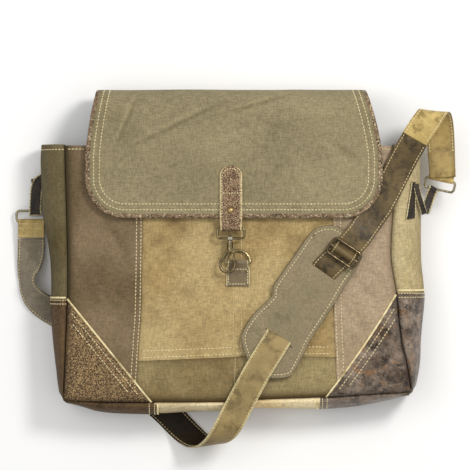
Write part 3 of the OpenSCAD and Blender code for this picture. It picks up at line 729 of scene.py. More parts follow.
def front_grid(xa, xb, ya, yb, step, level):
    """points between two edges that are functions of y and two that are functions of x"""
    xm = 0.5 * (float(xa(0)) + float(xb(0)))
    n = max(3, int((float(yb(xm)) - float(ya(xm))) / step) + 1)
    m = max(3, int(abs(float(xb(0)) - float(xa(0))) / step) + 1)
    v = np.linspace(0, 1, n)[:, None]
    u = np.linspace(0, 1, m)[None, :]
    y0 = float(ya(xm)) + (float(yb(xm)) - float(ya(xm))) * v + 0 * u
    x = xa(y0) + (xb(y0) - xa(y0)) * u
    y = ya(x) + (yb(x) - ya(x)) * v
    x = xa(y) + (xb(y) - xa(y)) * u
    return np.stack([x, y, front_height(x, y, level)], axis=-1)


def const(value):
    return lambda t: np.zeros_like(np.asarray(t, float)) + value


def mouth_line(x):
    x = np.asarray(x, float)
    return MOUTH + 1.2 * np.sin((x + 60) / 45.0) * smoothstep(np.abs(x), 150, 190)


def seam_shade(p, width=5.0, strength=0.75):
    x, y = p[..., 0], p[..., 1]
    d = np.minimum(np.minimum(x - left_edge(y), right_edge(y) - x), y - base_edge(x))
    return strength * np.exp(-np.maximum(d, 0) / width)


left_flat = curve_of([(-158, -114.5), (-134, -113.2), (-85, -110), (-53, -107.9), (54, -106.3),
                      (145, -106)])
right_flat = curve_of([(-158, 119.8), (-125, 119.4), (-51, 116.3), (60, 115.5), (145, 115)])
hem_low = curve_of([(-112, -109.7), (0, -105), (10, -103.4), (60, -104), (118, -105)])
STAINS = [(-69, 53, 9, .8), (-60, 45, 7, .7), (-88, 31, 8, .55), (-55, -28, 7, .4),
          (-78, 15, 10, .25), (-20, 40, 12, .2), (-95, -60, 12, .25), (-62, 38, 4, .5),
          (-40, -75, 14, .2), (40, 45, 12, .35), (70, 30, 12, .3)]


def stained(p):
    x, y = p[..., 0], p[..., 1]
    out = np.zeros(x.shape)
    for cx, cy, r, s in STAINS:
        ragged = 1 + 0.55 * wob(x, y, 6.5, cx)
        out = np.maximum(out, s * np.exp(-((x - cx) ** 2 + (y - cy) ** 2) / (r * ragged + 2) ** 2))
    return out * 0.75


def faded(p, seed):
    return np.clip(0.35 + 0.55 * wob(p[..., 0], p[..., 1], 60, seed), 0, 0.75)


def front_panel(name, grid, thick, mat, node, slot, seed, extra=None, seam_width=5.0,
                bleach=None):
    shade = seam_shade(grid, seam_width)
    fade_and_highlight = faded(grid, seed) if bleach is None else bleach
    if extra is not None:
        shade = np.maximum(shade, extra)
    # painted light and shade on the folds, as lit from the upper right: slopes turned away get painted
    # shade, slopes facing the light get painted highlight in the tint
    lean = light_slope(grid[..., 0], grid[..., 1], grid[..., 2])
    shade = shade + np.clip(1.5 * lean - 0.05, 0, 0.4)
    fade_and_highlight = np.clip(fade_and_highlight - 1.8 * lean, 0, 1)
    obj = slab(name, grid, thick, [MAT[mat], MAT["back"]], paint={
        "shade": np.clip(shade, 0, 1), "tint": fade_and_highlight})
    soften(obj, 0.4)
    return place(obj, "bag", [node] if isinstance(node, str) else node, slot)


lower = front_grid(lambda y: left_flat(y) - 6, lambda y: right_flat(y) + 6, base_edge,
                   lambda x: hem_low(x) + 7, 3.0, 58.9)
# painted shade on the lower panel just below the hem, where the centre panels' edge lies over it
under_hem = 0.55 * np.exp(-np.maximum(hem_low(lower[..., 0]) - lower[..., 1], 0) / 3.0)
front_panel("front_lower", lower, 1.2, "moss", "front_lower_panel", "canvas_moss", 2.0, under_hem,
            bleach=np.clip(0.1 + 0.2 * faded(lower, 2.0) + 0.8 * smoothstep(lower[..., 0], 4, 14), 0, 1))

centre = front_grid(lambda y: left_flat(y) - 6, const(0.6), hem_low, mouth_line, 2.6, 59.8)
# near: painted shade on the centre panel beside the edge of the left side panel lying over it
near = np.exp(-np.maximum(centre[..., 0] - left_flat(centre[..., 1]), 0) / 2.5) * 0.4
front_panel("front_centre_left", centre, 1.4, "tan", "front_centre_left_panel", "canvas_tan",
            5.0, np.maximum(stained(centre), near))
centre = front_grid(const(-1.5), lambda y: right_flat(y) + 6, hem_low, mouth_line, 2.6, 59.3)
# painted shade beside the edge of the right side panel lying over it
near = np.exp(-np.maximum(right_flat(centre[..., 1]) - centre[..., 0], 0) / 2.5) * 0.4
front_panel("front_centre_right", centre, 1.2, "tan", "front_centre_right_panel", "canvas_tan",
            6.0, np.maximum(stained(centre), near))

side = front_grid(left_edge, left_flat, base_edge, mouth_line, 2.6, 60.7)
front_panel("front_left", side, 1.5, "left", "front_left_panel", "canvas_taupe", 9.0)
side = front_grid(right_flat, right_edge, base_edge, mouth_line, 2.6, 60.5)
front_panel("front_right", side, 1.5, "rose", "front_right_panel", "canvas_rose", 12.0)


def on_front(xy, level, step=3.0):
    """a line laid on the front's surface"""
    pts = walk([(p[0], p[1], 0) for p in xy], step)
    z = front_height(pts[:, 0], pts[:, 1], level)
    return np.stack([pts[:, 0], pts[:, 1], z], axis=1)


def column(f, dx, y0, y1, level):
    """a line beside an upright seam"""
    ys = np.linspace(y0, y1, 40)
    return on_front([(float(f(y)) + dx, y) for y in ys], level)


front_seams = Seam()
for edge, off, first, level in ((left_flat, -1.9, -147, 60.8), (left_flat, -7.2, -139, 60.8),
                                (right_flat, 2.1, -139, 60.6), (right_flat, 8.6, -131, 60.6)):
    front_seams.line(column(edge, off, first, 139, level))
for lift in (3.6, 11.3):
    for xa, xb, level in ((-107, 0, 59.9), (2, 114, 59.4)):
        hem = [(x, float(hem_low(x)) + lift) for x in np.linspace(xa, xb, 30)]
        front_seams.line(on_front(hem, level))
thin_seams = Seam()
for a, b, level in (((-0.6, 136), (-0.6, -103), 59.9), ((8.6, 136), (8.6, -103), 59.4),
                    ((1.5, -106), (0.5, -153), 59.0)):
    thin_seams.line(on_front([a, b], level), 3.4, 0.5, 0.46)


# corner leather on the front, with a raised raw edge along its slope
def corner_cover(name, hyp_a, hyp_b, node, slot, mat, right=False, bow=0.0):
    (xa, ya), (xb, yb) = hyp_a, hyp_b

    def slope(y):
        t = np.clip((np.asarray(y, float) - yb) / (ya - yb), -0.2, 1)
        return xb + (xa - xb) * t + bow * np.sin(np.pi * np.clip(t, 0, 1))
    edge = right_edge if right else left_edge
    n, m = 54, 46
    v = np.linspace(0, 1, n)[:, None]
    u = np.linspace(0, 1, m)[None, :]
    y0 = yb + (ya - yb) * v + 0 * u
    x = edge(y0) + (slope(y0) - edge(y0)) * u
    y = np.maximum(y0, 0) + np.where(v < 0.3, (1 - v / 0.3), 0) * (base_edge(x) - yb) + \
        np.minimum(y0, 0)
    x = edge(y) + (slope(y) - edge(y)) * u
    z = front_height(x, y, 61.4)
    grid = np.stack([x, y, z], axis=-1)
    shade = seam_shade(grid, 4.0, 0.85)
    obj = slab(name, grid, 1.4, [MAT[mat]], paint={
        "shade": shade, "tint": np.clip(0.4 * wob(x, y, 26, 4.0), 0, 0.5)})
    soften(obj, 0.4)
    place(obj, "bag", [node], slot)
    a, b = np.array([xa, ya]), np.array([xb, yb])
    d = (b - a) / np.linalg.norm(b - a)
    inward = np.array([-d[1], d[0]]) * (1 if right else -1)
    inward = inward if inward[1] < 0 else -inward
    heights = [ya + (yb - ya) * t for t in np.linspace(0, 1, 30)]
    return [(float(slope(y)), y) for y in heights], inward


def bead(name, path, width, height, mat, body, slot):
    """a low rounded strip along a path that lies on a surface"""
    p = walk(path, 3.0)
    t = unit(np.gradient(p, axis=0))
    side = unit(np.cross(t, (0, 0, 1)))
    verts = []
    shape = [(-1, -0.6), (-0.95, 0.25), (-0.5, 0.85), (0, 1.0), (0.5, 0.85), (0.95, 0.25),
             (1, -0.6), (0, -0.9)]
    k = len(shape)
    for i in range(len(p)):
        wide = width / 2 * (1 + 0.1 * math.sin(i * 1.7))
        for s, h in shape:
            verts.append(p[i] + side[i] * s * wide + np.array([0, 0, 1]) * h * height)
    faces = tube_faces(len(p), k)
    faces += [tuple(range(k)), tuple((len(p) - 1) * k + q for q in range(k))]
    obj = add_mesh(name, verts, faces, [MAT[mat]])
    turn_out(obj)
    return place(obj, body, (), slot)


corner_seams = Seam()
for name, a, b, node, slot, mat, right, bow in (
        ("corner_front_left_cover", (-193.9, -36.5), (-95.5, -157.3), "corner_front_left",
         "leather_brown", "brown", False, 0.0),
        ("corner_front_right_cover", (188.4, -31.5), (106.5, -151.5), "corner_front_right",
         "leather_dark", "dark", True, 3.0)):
    line, inward = corner_cover(name, a, b, node, slot, mat, right, bow)
    inner = [(p[0] + 0.9 * inward[0], p[1] + 0.9 * inward[1]) for p in line]
    bead(name + "_edge", on_front(inner, 61.5), 2.3, 0.8, "raw", "bag", slot)
    for off, cut in ((7.5, 3), (14.5, 5)):
        path = [(p[0] + off * inward[0], p[1] + off * inward[1]) for p in line[cut:-cut]]
        corner_seams.line(on_front(path, 61.5), 2.8, 1.3, 0.58)


# the folds at the two sides and the base: one strip from mouth to mouth round the seam
def seam_path():
    """places along the seam from mouth to mouth, each with its outward way and fold width"""
    pts = []
    for y in np.linspace(MOUTH + 1, -147, 84):
        pts.append(((float(left_edge(y)), y), (-1.0, 0.0), float(left_out(y))))
    for t in np.linspace(0, 1, 9)[1:-1]:
        w = math.radians(180 + 90 * t)
        out = (math.cos(w), math.sin(w))
        wide = 3.6 - 1.4 * math.sin(math.pi * t)
        pts.append(((-193.5 + 5.0 * out[0], -149.0 + 7.3 * out[1]), out, wide))
    for x in np.linspace(-191, 199, 112):
        pts.append(((x, float(base_edge(x))), (0.0, -1.0), float(base_out(x)) + 1.0))
    for t in np.linspace(0, 1, 9)[1:-1]:
        w = math.radians(270 + 90 * t)
        out = (math.cos(w), math.sin(w))
        pts.append(((201.0 + 5.6 * out[0], -140.5 + 5.8 * out[1]), out, 3.4))
    for y in np.linspace(-139, MOUTH + 1, 84):
        pts.append(((float(right_edge(y)), y), (1.0, 0.0), float(right_out(y))))
    return pts


PATH = seam_path()
V_FOLD = np.linspace(0, 1, 30)


def fold_profile(v):
    at = np.linspace(0, 1, len(FOLD))
    fine = curve_of(list(zip(at, FOLD[:, 0])))
    up = curve_of(list(zip(at, FOLD[:, 1])))
    return fine(v), up(v)


def fold_grid(points, lift=0.0):
    out, up = fold_profile(V_FOLD)
    rows = []
    for (x, y), (nx, ny), wide in points:
        swell = wide * out + lift * np.sin(np.pi * np.clip(V_FOLD, 0.03, 0.97)) ** 0.35
        dimple = 0.9 * np.array([noise.noise(Vector((x / 42.0, y / 42.0, 2.0 + 1.4 * v)))
                                 for v in V_FOLD]) * np.sin(np.pi * V_FOLD)
        side = swell + dimple * min(1.0, wide / 12.0)
        z = up + lift * 0.35 * (V_FOLD < 0.45)
        small = smoothstep(wide, 3.0, 14.0)
        z = np.where(V_FOLD < 0.5, z - (1 - small) * 3.0 * np.sin(np.pi * V_FOLD), z)
        rows.append(np.stack([x + nx * side, y + ny * side, z], axis=1))
    return np.array(rows)


def fold_piece(name, keep, mats, thick, node, slot, lift=0.0, dark=0.8, stain=None):
    pts = [p for p in PATH if keep(*p[0], p[1])]
    grid = fold_grid(pts, lift)
    normal = unit(np.cross(np.gradient(grid, axis=0), np.gradient(grid, axis=1)))
    out = np.array([[nx, ny, 0.0] for _, (nx, ny), _ in pts])
    mid = len(V_FOLD) // 2
    if np.sum(normal[:, mid] * out) < 0:
        normal = -normal
    room = np.array([min(thick, 0.35 * wide + 0.6) for _, _, wide in pts])
    inner = grid - normal * room[:, None, None]
    inner[:, 0] = grid[:, 0] - np.array([0, 0, 0.8])
    inner[:, 1] = grid[:, 1] - np.array([0, 0, 1.2])
    inner[:, -1] = grid[:, -1] + np.array([0, 0, 0.6])
    # painted shade: dark in the crease at the front seam, and over the fold's lower half, which turns
    # down away from the light
    shade = np.tile(dark * np.exp(-V_FOLD / 0.035) + 0.55 * smoothstep(V_FOLD, 0.30, 0.62),
                    (len(pts), 1))
    if stain is not None:
        shade = shade + stain(grid[..., 0])
    obj = slab(name, grid, 1.0, mats, low=inner, paint={
        "shade": np.clip(shade, 0, 1),
        "tint": np.clip(0.3 + 0.6 * wob(grid[..., 0], grid[..., 1], 55, 7.7), 0, 0.6)})
    soften(obj, 0.4)
    return place(obj, "bag", node, slot)


LEATHER_LEFT, LEATHER_RIGHT = -36.0, -27.5
BASE_LEFT, BASE_RIGHT = -89.0, 97.5
fold_piece("fold_left", lambda x, y, n: x < -185 and n[0] < -0.9 and y > LEATHER_LEFT - 6,
           [MAT["side_left"], MAT["lining"]], 1.8, ["gusset_left"], "canvas_side_left")
fold_piece("fold_right", lambda x, y, n: x > 170 and n[0] > 0.9 and y > LEATHER_RIGHT - 6,
           [MAT["side_right"], MAT["lining"]], 1.8, ["gusset_right"], "canvas_side_right")
fold_piece("fold_base", lambda x, y, n: n[1] < -0.9 and BASE_LEFT - 6 < x < BASE_RIGHT + 6,
           [MAT["cream"], MAT["lining"]], 1.8, ["gusset_base"], "canvas_cream", dark=0.9,
           stain=lambda x: 0.34 * smoothstep(x, -28, -62))
fold_piece("fold_corner_left",
           lambda x, y, n: (n[0] < -0.02 and y <= LEATHER_LEFT) or (n[1] < -0.5 and x < BASE_LEFT),
           [MAT["brown_side"], MAT["lining"]], 2.2, ["corner_side_left", "corner_base_left"],
           "leather_brown", lift=0.9)
fold_piece("fold_corner_right",
           lambda x, y, n: (n[0] > 0.02 and y <= LEATHER_RIGHT) or (n[1] < -0.5 and x > BASE_RIGHT),
           [MAT["dark"], MAT["lining"]], 2.2, ["corner_side_right", "corner_base_right"],
           "leather_dark", lift=0.9)


def across_fold(at, horizontal, lift=1.3, upto=0.52):
    """a line of points over a side or base fold, from the front seam round to its middle"""
    if horizontal == "left":
        p = ((float(left_edge(at)), at), (-1.0, 0.0), float(left_out(at)))
    elif horizontal == "right":
        p = ((float(right_edge(at)), at), (1.0, 0.0), float(right_out(at)))
    else:
        p = ((at, float(base_edge(at))), (0.0, -1.0), float(base_out(at)) + 1.0)
    grid = fold_grid([p], lift)[0]
    return grid[(V_FOLD > 0.03) & (V_FOLD < upto)]


def outward_of(kind):
    return {"left": (-0.5, 0, 1), "right": (0.5, 0, 1), "base": (0, -0.6, 1)}[kind]


for kind, edges, sews in (("left", (-35.8,), (-38.8, -43.2)), ("right", (-27.2,), (-31.0, -35.4)),
                          ("base", (-89.0,), (-92.6, -98.8)), ("base", (97.6,), (103.2, 108.6))):
    for at in edges:
        bead("edge_%s_%d" % (kind, int(abs(at))), across_fold(at, kind, 1.5), 2.2, 0.7, "raw",
             "bag", None)
    for at in sews:
        corner_seams.line(across_fold(at, kind, 1.3), 2.4, 1.1, 0.55, 0.14, outward_of(kind))

# hem of the mouth
for xa, xb, level in ((-194, -107, 60.8), (-105, -2, 59.9), (2, 114, 59.4), (116, 185, 60.6)):
    front_seams.line(on_front([(xa, 137.4), (xb, 137.4)], level))
front_seams.line(across_fold(137.0, "left", 0.15), up=outward_of("left"))
front_seams.line(across_fold(137.0, "right", 0.15), up=outward_of("right"))

place(front_seams.build("seams_front", "thread"), "bag")
place(thin_seams.build("seams_centre", "thread_dim"), "bag")
place(corner_seams.build("seams_corner", "thread"), "bag")

# back, with a shallow channel where the strap runs behind the bag
CHANNEL_TURN, CHANNEL_FROM = math.radians(136.6), (-68.6, -182.9)
xs = np.linspace(-1, 1, 60)[None, :]
ys = np.linspace(0, 1, 46)[:, None]
y_row = -140 + 281 * ys
bx = 0.5 * (right_edge(y_row) + left_edge(y_row)) + 0.5 * (right_edge(y_row) - left_edge(y_row)) * xs
by = base_edge(bx) + (MOUTH - base_edge(bx)) * ys
edge_up = 2.4 * smoothstep(np.maximum(np.abs(bx) / 197.0, -by / 156.0), 0.93, 1.0)
lift = 0.35 + edge_up + 0.25 * (1 + wob(bx, by, 50, 1.5)) * smoothstep(np.abs(bx), 190, 120)
ahead = np.array([math.cos(CHANNEL_TURN), math.sin(CHANNEL_TURN)])
rel_x, rel_y = bx - CHANNEL_FROM[0], by - CHANNEL_FROM[1]
off_line = np.abs(-rel_x * ahead[1] + rel_y * ahead[0])
on_line = rel_x * ahead[0] + rel_y * ahead[1]
tunnel = (1 - smoothstep(off_line, 15.5, 24)) * smoothstep(on_line, 260, 190)
back = np.stack([bx, by, np.maximum(lift, 3.3 * tunnel)], axis=-1)
obj = slab("back", back, 2.0, [MAT["back"], MAT["lining"]], down=(0, 0, 1),
           paint={"shade": 0.3 * edge_up / 2.4, "tint": 0 * bx})
soften(obj, 0.4)
place(obj, "bag", ["back_panel"], "canvas_back")

# the open cloth bag inside: rings from the mouth to the base
sock = []
for y in np.linspace(MOUTH - 1.5, -150, 60):
    xa, xb = float(left_edge(y)), float(right_edge(y))
    oa, ob = float(left_out(y)), float(right_out(y))
    ring = []
    for u in np.linspace(0, 1, 36):
        x = xa + 4 + (xb - xa - 8) * u
        ring.append((x, y, 54.6 - 1.5 * math.exp(-min(u, 1 - u) * 22)))
    out, up = fold_profile(np.linspace(0.05, 0.95, 12))
    for o, h in zip(out, up):
        ring.append((xb - 3 + max(ob * o - 1.5, 0), y, min(max(h, 7.5), 52)))
    for u in np.linspace(1, 0, 36):
        ring.append((xa + 4 + (xb - xa - 8) * u, y, 7.2))
    for o, h in zip(out[::-1], up[::-1]):
        ring.append((xa + 3 - max(oa * o - 1.5, 0), y, min(max(h, 7.5), 52)))
    sock.append(ring)
sock = np.array(sock)
n, m = sock.shape[:2]
faces = tube_faces(n, m) + [tuple((n - 1) * m + j for j in range(m))]
obj = add_mesh("inner_bag", sock.reshape(-1, 3), faces, [MAT["lining"]])
place(obj, "bag", ["lining"], "lining_cloth")


# ---------------------------------------------------------------- flap
FLAP_LOW, FOLD_Y, FOLD_R, BACK_R, FOLD_Z = 62.0, 207.5, 37.5, 31.0, 32.0
S_ARC = FOLD_Y - FOLD_R - FLAP_LOW
S_MID = S_ARC + FOLD_R * math.pi / 2
S_BACK = S_MID + BACK_R * math.pi / 2
S_END = S_BACK + (FOLD_Y - BACK_R - MOUTH)
CORNER_X, CORNER_R = 127.0, 41.0


def flap_point(x, s, h):
    """place of a point of the flap: across, along from its lower edge, and above its face"""
    x, s, h = np.broadcast_arrays(np.asarray(x, float), np.asarray(s, float),
                                  np.asarray(h, float))
    w1 = np.clip((s - S_ARC) / FOLD_R, 0, math.pi / 2)
    w2 = np.clip((s - S_MID) / BACK_R, 0, math.pi / 2)
    y = np.where(s <= S_ARC, FLAP_LOW + s, 0)
    z = np.where(s <= S_ARC, FOLD_Z + FOLD_R + h, 0)
    arc = (s > S_ARC) & (s <= S_MID)
    y = np.where(arc, FOLD_Y - FOLD_R + (FOLD_R + h) * np.sin(w1), y)
    z = np.where(arc, FOLD_Z + (FOLD_R + h) * np.cos(w1), z)
    arc = (s > S_MID) & (s <= S_BACK)
    y = np.where(arc, FOLD_Y - BACK_R + (BACK_R + h) * np.cos(w2), y)
    z = np.where(arc, FOLD_Z - (BACK_R + h) * np.sin(w2), z)
    flat = s > S_BACK
    y = np.where(flat, FOLD_Y - BACK_R - (s - S_BACK), y)
    z = np.where(flat, FOLD_Z - BACK_R - h, z)
    return np.stack([x, y, z], axis=-1)


def plan_y(s):
    return flap_point(0.0, s, 0.0)[..., 1]


def flap_half(s, left):
    """half of the flap's breadth, to the left or the right of its middle"""
    s = np.asarray(s, float)
    t = np.clip((plan_y(s) - 128.0) / (FOLD_Y - 128.0), 0, 1)
    top = 156.0 if left else 150.0
    widest = CORNER_X + CORNER_R
    wide = widest + (top - widest) * t ** 1.35
    corner = CORNER_X + np.sqrt(np.maximum(CORNER_R**2 - np.maximum(CORNER_R - s, 0) ** 2, 0))
    return np.where(s < CORNER_R, corner, wide)


FLAP_CREASES = [((-60, 60), (-5, 92), 5, 0.9), ((-40, 75), (30, 110), 7, -0.8),
                ((-120, 30), (-60, 50), 8, 0.6), ((60, 40), (120, 70), 8, -0.7),
                ((90, 20), (140, 60), 7, 0.7), ((-150, 90), (-80, 120), 7, -0.8),
                ((40, 95), (110, 120), 8, 0.7), ((-109, 150), (-141, 71), 6, -1.1),
                ((-1, 138), (-133, 72), 6.5, -1.2), ((77, 150), (-20, 115), 6.5, -1.0),
                ((108, 84), (146, 55), 5, -0.9)]


def flap_rise(x, s):
    """soft unevenness of the flap"""
    x, s = np.broadcast_arrays(np.asarray(x, float), np.asarray(s, float))
    h = 0.7 * wob(x, s, 75, 21.0) + 0.3 * wob(x, s, 26, 5.0)
    for a, b, w, g in FLAP_CREASES:
        h = h + 1.5 * ridge(x, s, a, b, 0.8 * w, g)
    h = h * (1 - 0.75 * smoothstep(s, 150, 175))
    return np.clip(h, -1.5, 1.5) * smoothstep(s, -8, 30)


v = np.concatenate([CORNER_R * (1 - np.cos(np.linspace(0, math.pi / 2, 16))), np.arange(44.5, S_END, 3.2),
                    [S_END]])
u = np.linspace(-1, 1, 112)
S = v[:, None] + 0 * u[None, :]
X = np.where(u[None, :] < 0, u[None, :] * flap_half(v, True)[:, None],
             u[None, :] * flap_half(v, False)[:, None])
FLAP_THICK = 2.3
outer = flap_point(X, S, flap_rise(X, S))
inner = flap_point(X, S, flap_rise(X, S) - FLAP_THICK)
# valley: painted shade in the last four creases; crest: painted highlight on their sides towards the
# light
valley = -sum(ridge(X, S, a, b, 0.42 * w, g) for a, b, w, g in FLAP_CREASES[-4:])
crest = -sum(ridge(X + 3.2, S - 2.8, a, b, 0.42 * w, g) for a, b, w, g in FLAP_CREASES[-4:])
# lean: painted light and shade on the flap's folds, as lit from the upper right
lean = light_slope(X, S, flap_rise(X, S))
side_gap = np.minimum(flap_half(S, True) + X, flap_half(S, False) - X)
# painted shade along the flap's sides beside the raised binding, and a darker line 8.6 mm in from them
binding_shade = 0.35 * np.exp(-np.maximum(side_gap, 0) / 2.0)
flap = slab("flap_cloth", outer, FLAP_THICK, [MAT["flap"], MAT["lining"]], low=inner, paint={
    "shade": np.clip(binding_shade + 0.18 * np.exp(-((side_gap - 8.6) / 2.4) ** 2)
                     + np.clip(1.2 * lean - 0.06, 0, 0.4) + 0.4 * valley, 0, 1),
    "tint": np.clip(0.25 + 0.4 * wob(X, S, 62, 2.2) - 1.8 * lean + 0.7 * crest, 0, 1)})
soften(flap, 0.35)
breadth = flap_half(v, True) + flap_half(v, False)
cut = float(np.sum(0.5 * np.diff(v) * (breadth[:-1] + breadth[1:])))
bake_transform(flap)
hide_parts("flap_canvas", "flap_lining", "flap_back")


def flap_border(d, top=S_MID + 30, step=3.0):
    """(x, s) points along the flap's edge, moved out by d"""
    def rounding(centre, first):
        turns = np.radians(np.linspace(first, first + 90, 26))
        return [(centre + (CORNER_R + d) * math.cos(w), CORNER_R + (CORNER_R + d) * math.sin(w))
                for w in turns]
    pts = [(-(float(flap_half(s, True)) + d), s) for s in np.arange(top, CORNER_R, -step)]
    pts += rounding(-CORNER_X, 180)
    pts += [(x, -d) for x in np.arange(-CORNER_X + step, CORNER_X, step)]
    pts += rounding(CORNER_X, 270)
    pts += [(float(flap_half(s, False)) + d, s) for s in np.arange(CORNER_R + step, top, step)]
    return np.array(pts)


SECTION = [(-3.0, -0.45), (0.4, -0.35), (2.0, -0.3), (3.6, -0.5), (4.6, -0.95), (5.0, -1.7),
           (4.6, -2.6), (3.0, -3.1), (-3.0, -3.0)]
rows = []
for d, h in SECTION:
    line = flap_border(d)
    ragged = 0.28 * wob(line[:, 0], line[:, 1], 5.0, 40 + d) * (d > 1)
    rows.append(flap_point(line[:, 0], np.maximum(line[:, 1], -9),
                           h + ragged + flap_rise(line[:, 0], line[:, 1])))
rows = np.array(rows).transpose(1, 0, 2)
n, m = rows.shape[:2]
faces = tube_faces(n, m) + [tuple(range(m)), tuple((n - 1) * m + j for j in range(m))]
trim = add_mesh("flap_binding", rows.reshape(-1, 3), faces, [MAT["trim"]])
turn_out(trim)
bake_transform(trim)
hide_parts("flap_trim")

flap_seams = Seam()
for d in (-4.6, -11.4):
    line = flap_border(d, S_MID - 4)
    path = flap_point(line[:, 0], line[:, 1], flap_rise(line[:, 0], line[:, 1]))
    flap_seams.line(path, 2.8, 1.2, 0.58, 0.12)
place(flap_seams.build("seams_flap", "thread"), "flap")


# ---------------------------------------------------------------- leather on rows of points
def bend(a, b, c, d, k):
    """k points of the smooth curve from b towards c, with the neighbours a and d"""
    return [0.5 * (2 * b + (c - a) * t + (2 * a - 5 * b + 4 * c - d) * t * t
                   + (3 * b - a - 3 * c + d) * t**3) for t in (j / k for j in range(k))]


def smooth_route(points, k):
    p = np.asarray(points, float)
    out = []
    for i in range(len(p) - 1):
        out += bend(p[max(i - 1, 0)], p[i], p[i + 1], p[min(i + 2, len(p) - 1)], k)
    return np.array(out + [p[-1]])


def lay(route, width, half=16.0):
    """rows of points across a route: width is the way across, half is half the breadth"""
    route, width = np.asarray(route, float), np.asarray(width, float)
    along = unit(np.gradient(route, axis=0))
    across = unit(width - along * np.sum(width * along, axis=1, keepdims=True))
    half = np.broadcast_to(np.asarray(half, float), (len(route),))
    return route[:, None, :] + ACROSS[None, :, None] * half[:, None, None] * across[:, None, :]


def roll(centre, radius, axis, pitch, lead, count, half=16.0):
    """a strap that rolls half a turn round a level cylinder"""
    f = np.array([math.cos(math.radians(axis)), math.sin(math.radians(axis)), 0])
    g = np.array([math.sin(math.radians(axis)), -math.cos(math.radians(axis)), 0])
    b = math.radians(pitch)
    run = math.pi * radius / math.sin(b)
    rows = []
    for s in np.linspace(-lead, run + lead, count):
        row = []
        for q in ACROSS:
            arc = s * math.sin(b) - q * half * math.cos(b)
            p = np.asarray(centre, float) + f * (s * math.cos(b) + q * half * math.sin(b))
            w = arc / radius
            if w < 0:
                p = p + g * arc
            elif w < math.pi:
                p = p + radius * (math.sin(w) * g + np.array([0, 0, 1 - math.cos(w)]))
            else:
                p = p + np.array([0, 0, 2 * radius]) - g * (arc - math.pi * radius)
            row.append(p)
        rows.append(row)
    return np.array(rows)


def above(rows, low=1.35):
    rows = rows.copy()
    rows[..., 2] = np.maximum(rows[..., 2], low)
    return rows


def edge_stitches(seam, face, other, skip=(0, 0), r=0.55, inset=3, length=2.6, gap=1.2):
    """stitches in the grooves of a ribbon's face; other is its opposite face"""
    part = slice(skip[0], len(face) - skip[1])
    for j in (inset, face.shape[1] - 1 - inset):
        pts = face[part, j]
        normals = unit(face[part, j] - other[part, j])
        run = np.concatenate([[0], np.cumsum(np.linalg.norm(np.diff(pts, axis=0), axis=1))])
        at = 0.6
        while at + length < run[-1]:
            a, b = (np.array([np.interp(at + d, run, pts[:, k]) for k in range(3)])
                    for d in (0.0, length))
            q = np.array([np.interp(at + length / 2, run, normals[:, k]) for k in range(3)])
            seam.stitch(a, b, r, 0.14, unit(q))
            at += length + gap


def strap(name, rows, mats, node, up_at=None, face_sew=(), back_sew=(), paint=None,
          yarn="thread_dim"):
    """one run of the strap with its stitches, in place of its CAD node. up_at is the row
    where the face has to look up"""
    obj, top, low = ribbon(name, rows, STRAP_THICK, mats, paint)
    if up_at is not None and top[up_at, MID, 2] < low[up_at, MID, 2]:
        swap_faces(obj)
        top, low = low, top
    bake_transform(obj)
    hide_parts(node)
    seam = Seam()
    for skip in face_sew:
        edge_stitches(seam, top, low, skip)
    for skip in back_sew:
        edge_stitches(seam, low, top, skip)
    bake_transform(seam.build(name.replace("strap", "seams_strap"), yarn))


GROUND, STRAP_THICK = 1.3, 2.4

# from the left ring down and behind the bag
left_route = [(-238.8, 32.5, 6.5), (-239, 15, 8), (-241, 0, 11), (-243.5, -13, 14.5),
              (-241, -27, 14.2), (-231, -41, 10.4), (-218, -50, 5.8), (-207, -56.5, GROUND),
              (-194, -64.4, GROUND), (-170, -87.1, GROUND), (-140, -115.5, GROUND)]
left_width = [(1, 0, 0), (.98, 0, .15), (.85, 0, .45), (.6, .1, .76), (.53, .36, .72),
              (.6, .62, .48), (.67, .72, .16), (.687, .727, 0), (.687, .727, 0),
              (.687, .727, 0), (.687, .727, 0)]
rows = above(lay(smooth_route(left_route, 6), smooth_route(left_width, 6)))
strap("strap_left", rows, ("grey", "gold", "ply_dark"), "strap_left_run",
      10, [(0, 0)])

# out below the base, rolled over it and up the front into the pad's lower slit
under = lay([(-140, -115.5, GROUND), (-122, -132.5, GROUND), (-104, -149.5, GROUND)],
            [(.687, .727, 0)] * 3)
turned = roll((-68.6, -182.9, GROUND), 31, 8.5, 54.5, 13, 64)
front_route = [(7.6, -158, 64.2), (14, -146, 66.8), (19, -136.5, 69.3), (26, -123.5, 69.5),
               (38, -103.5, 69.5), (46, -91, 69.4), (50.5, -83.4, 68.6), (52.6, -80, 66.2)]
fronts = lay(smooth_route(front_route, 5), np.array([[.86, -.51, 0]] * 36))
rows = np.concatenate([under, turned, fronts])
# painted light and shade by height: the runs on and near the floor under the bag are painted darker as
# shadow, the run up the front is painted lighter
high = smoothstep(rows[:, MID, 2], 30, 60)
strap("strap_front", rows, ("front", "black", "ply"), "strap_front_run",
      -6, [(30, 2)], [(0, 50)],
      {"tint": 0.25 * high, "shade": 0.5 * (1 - high)})

# behind the pad
rows = lay(smooth_route([(51.5, -82, 62), (64.9, -62.4, 61.9), (78.3, -42.8, 61.9),
                         (91.6, -23.2, 61.9), (105, -3.6, 62)], 3), np.array([[.826, -.564, 0]] * 13))
obj, _, _ = ribbon("strap_behind_pad", rows, STRAP_THICK, ("olive", "olive", "ply"))
place(obj, "bag", ["strap_pad_run"], "strap_dark")

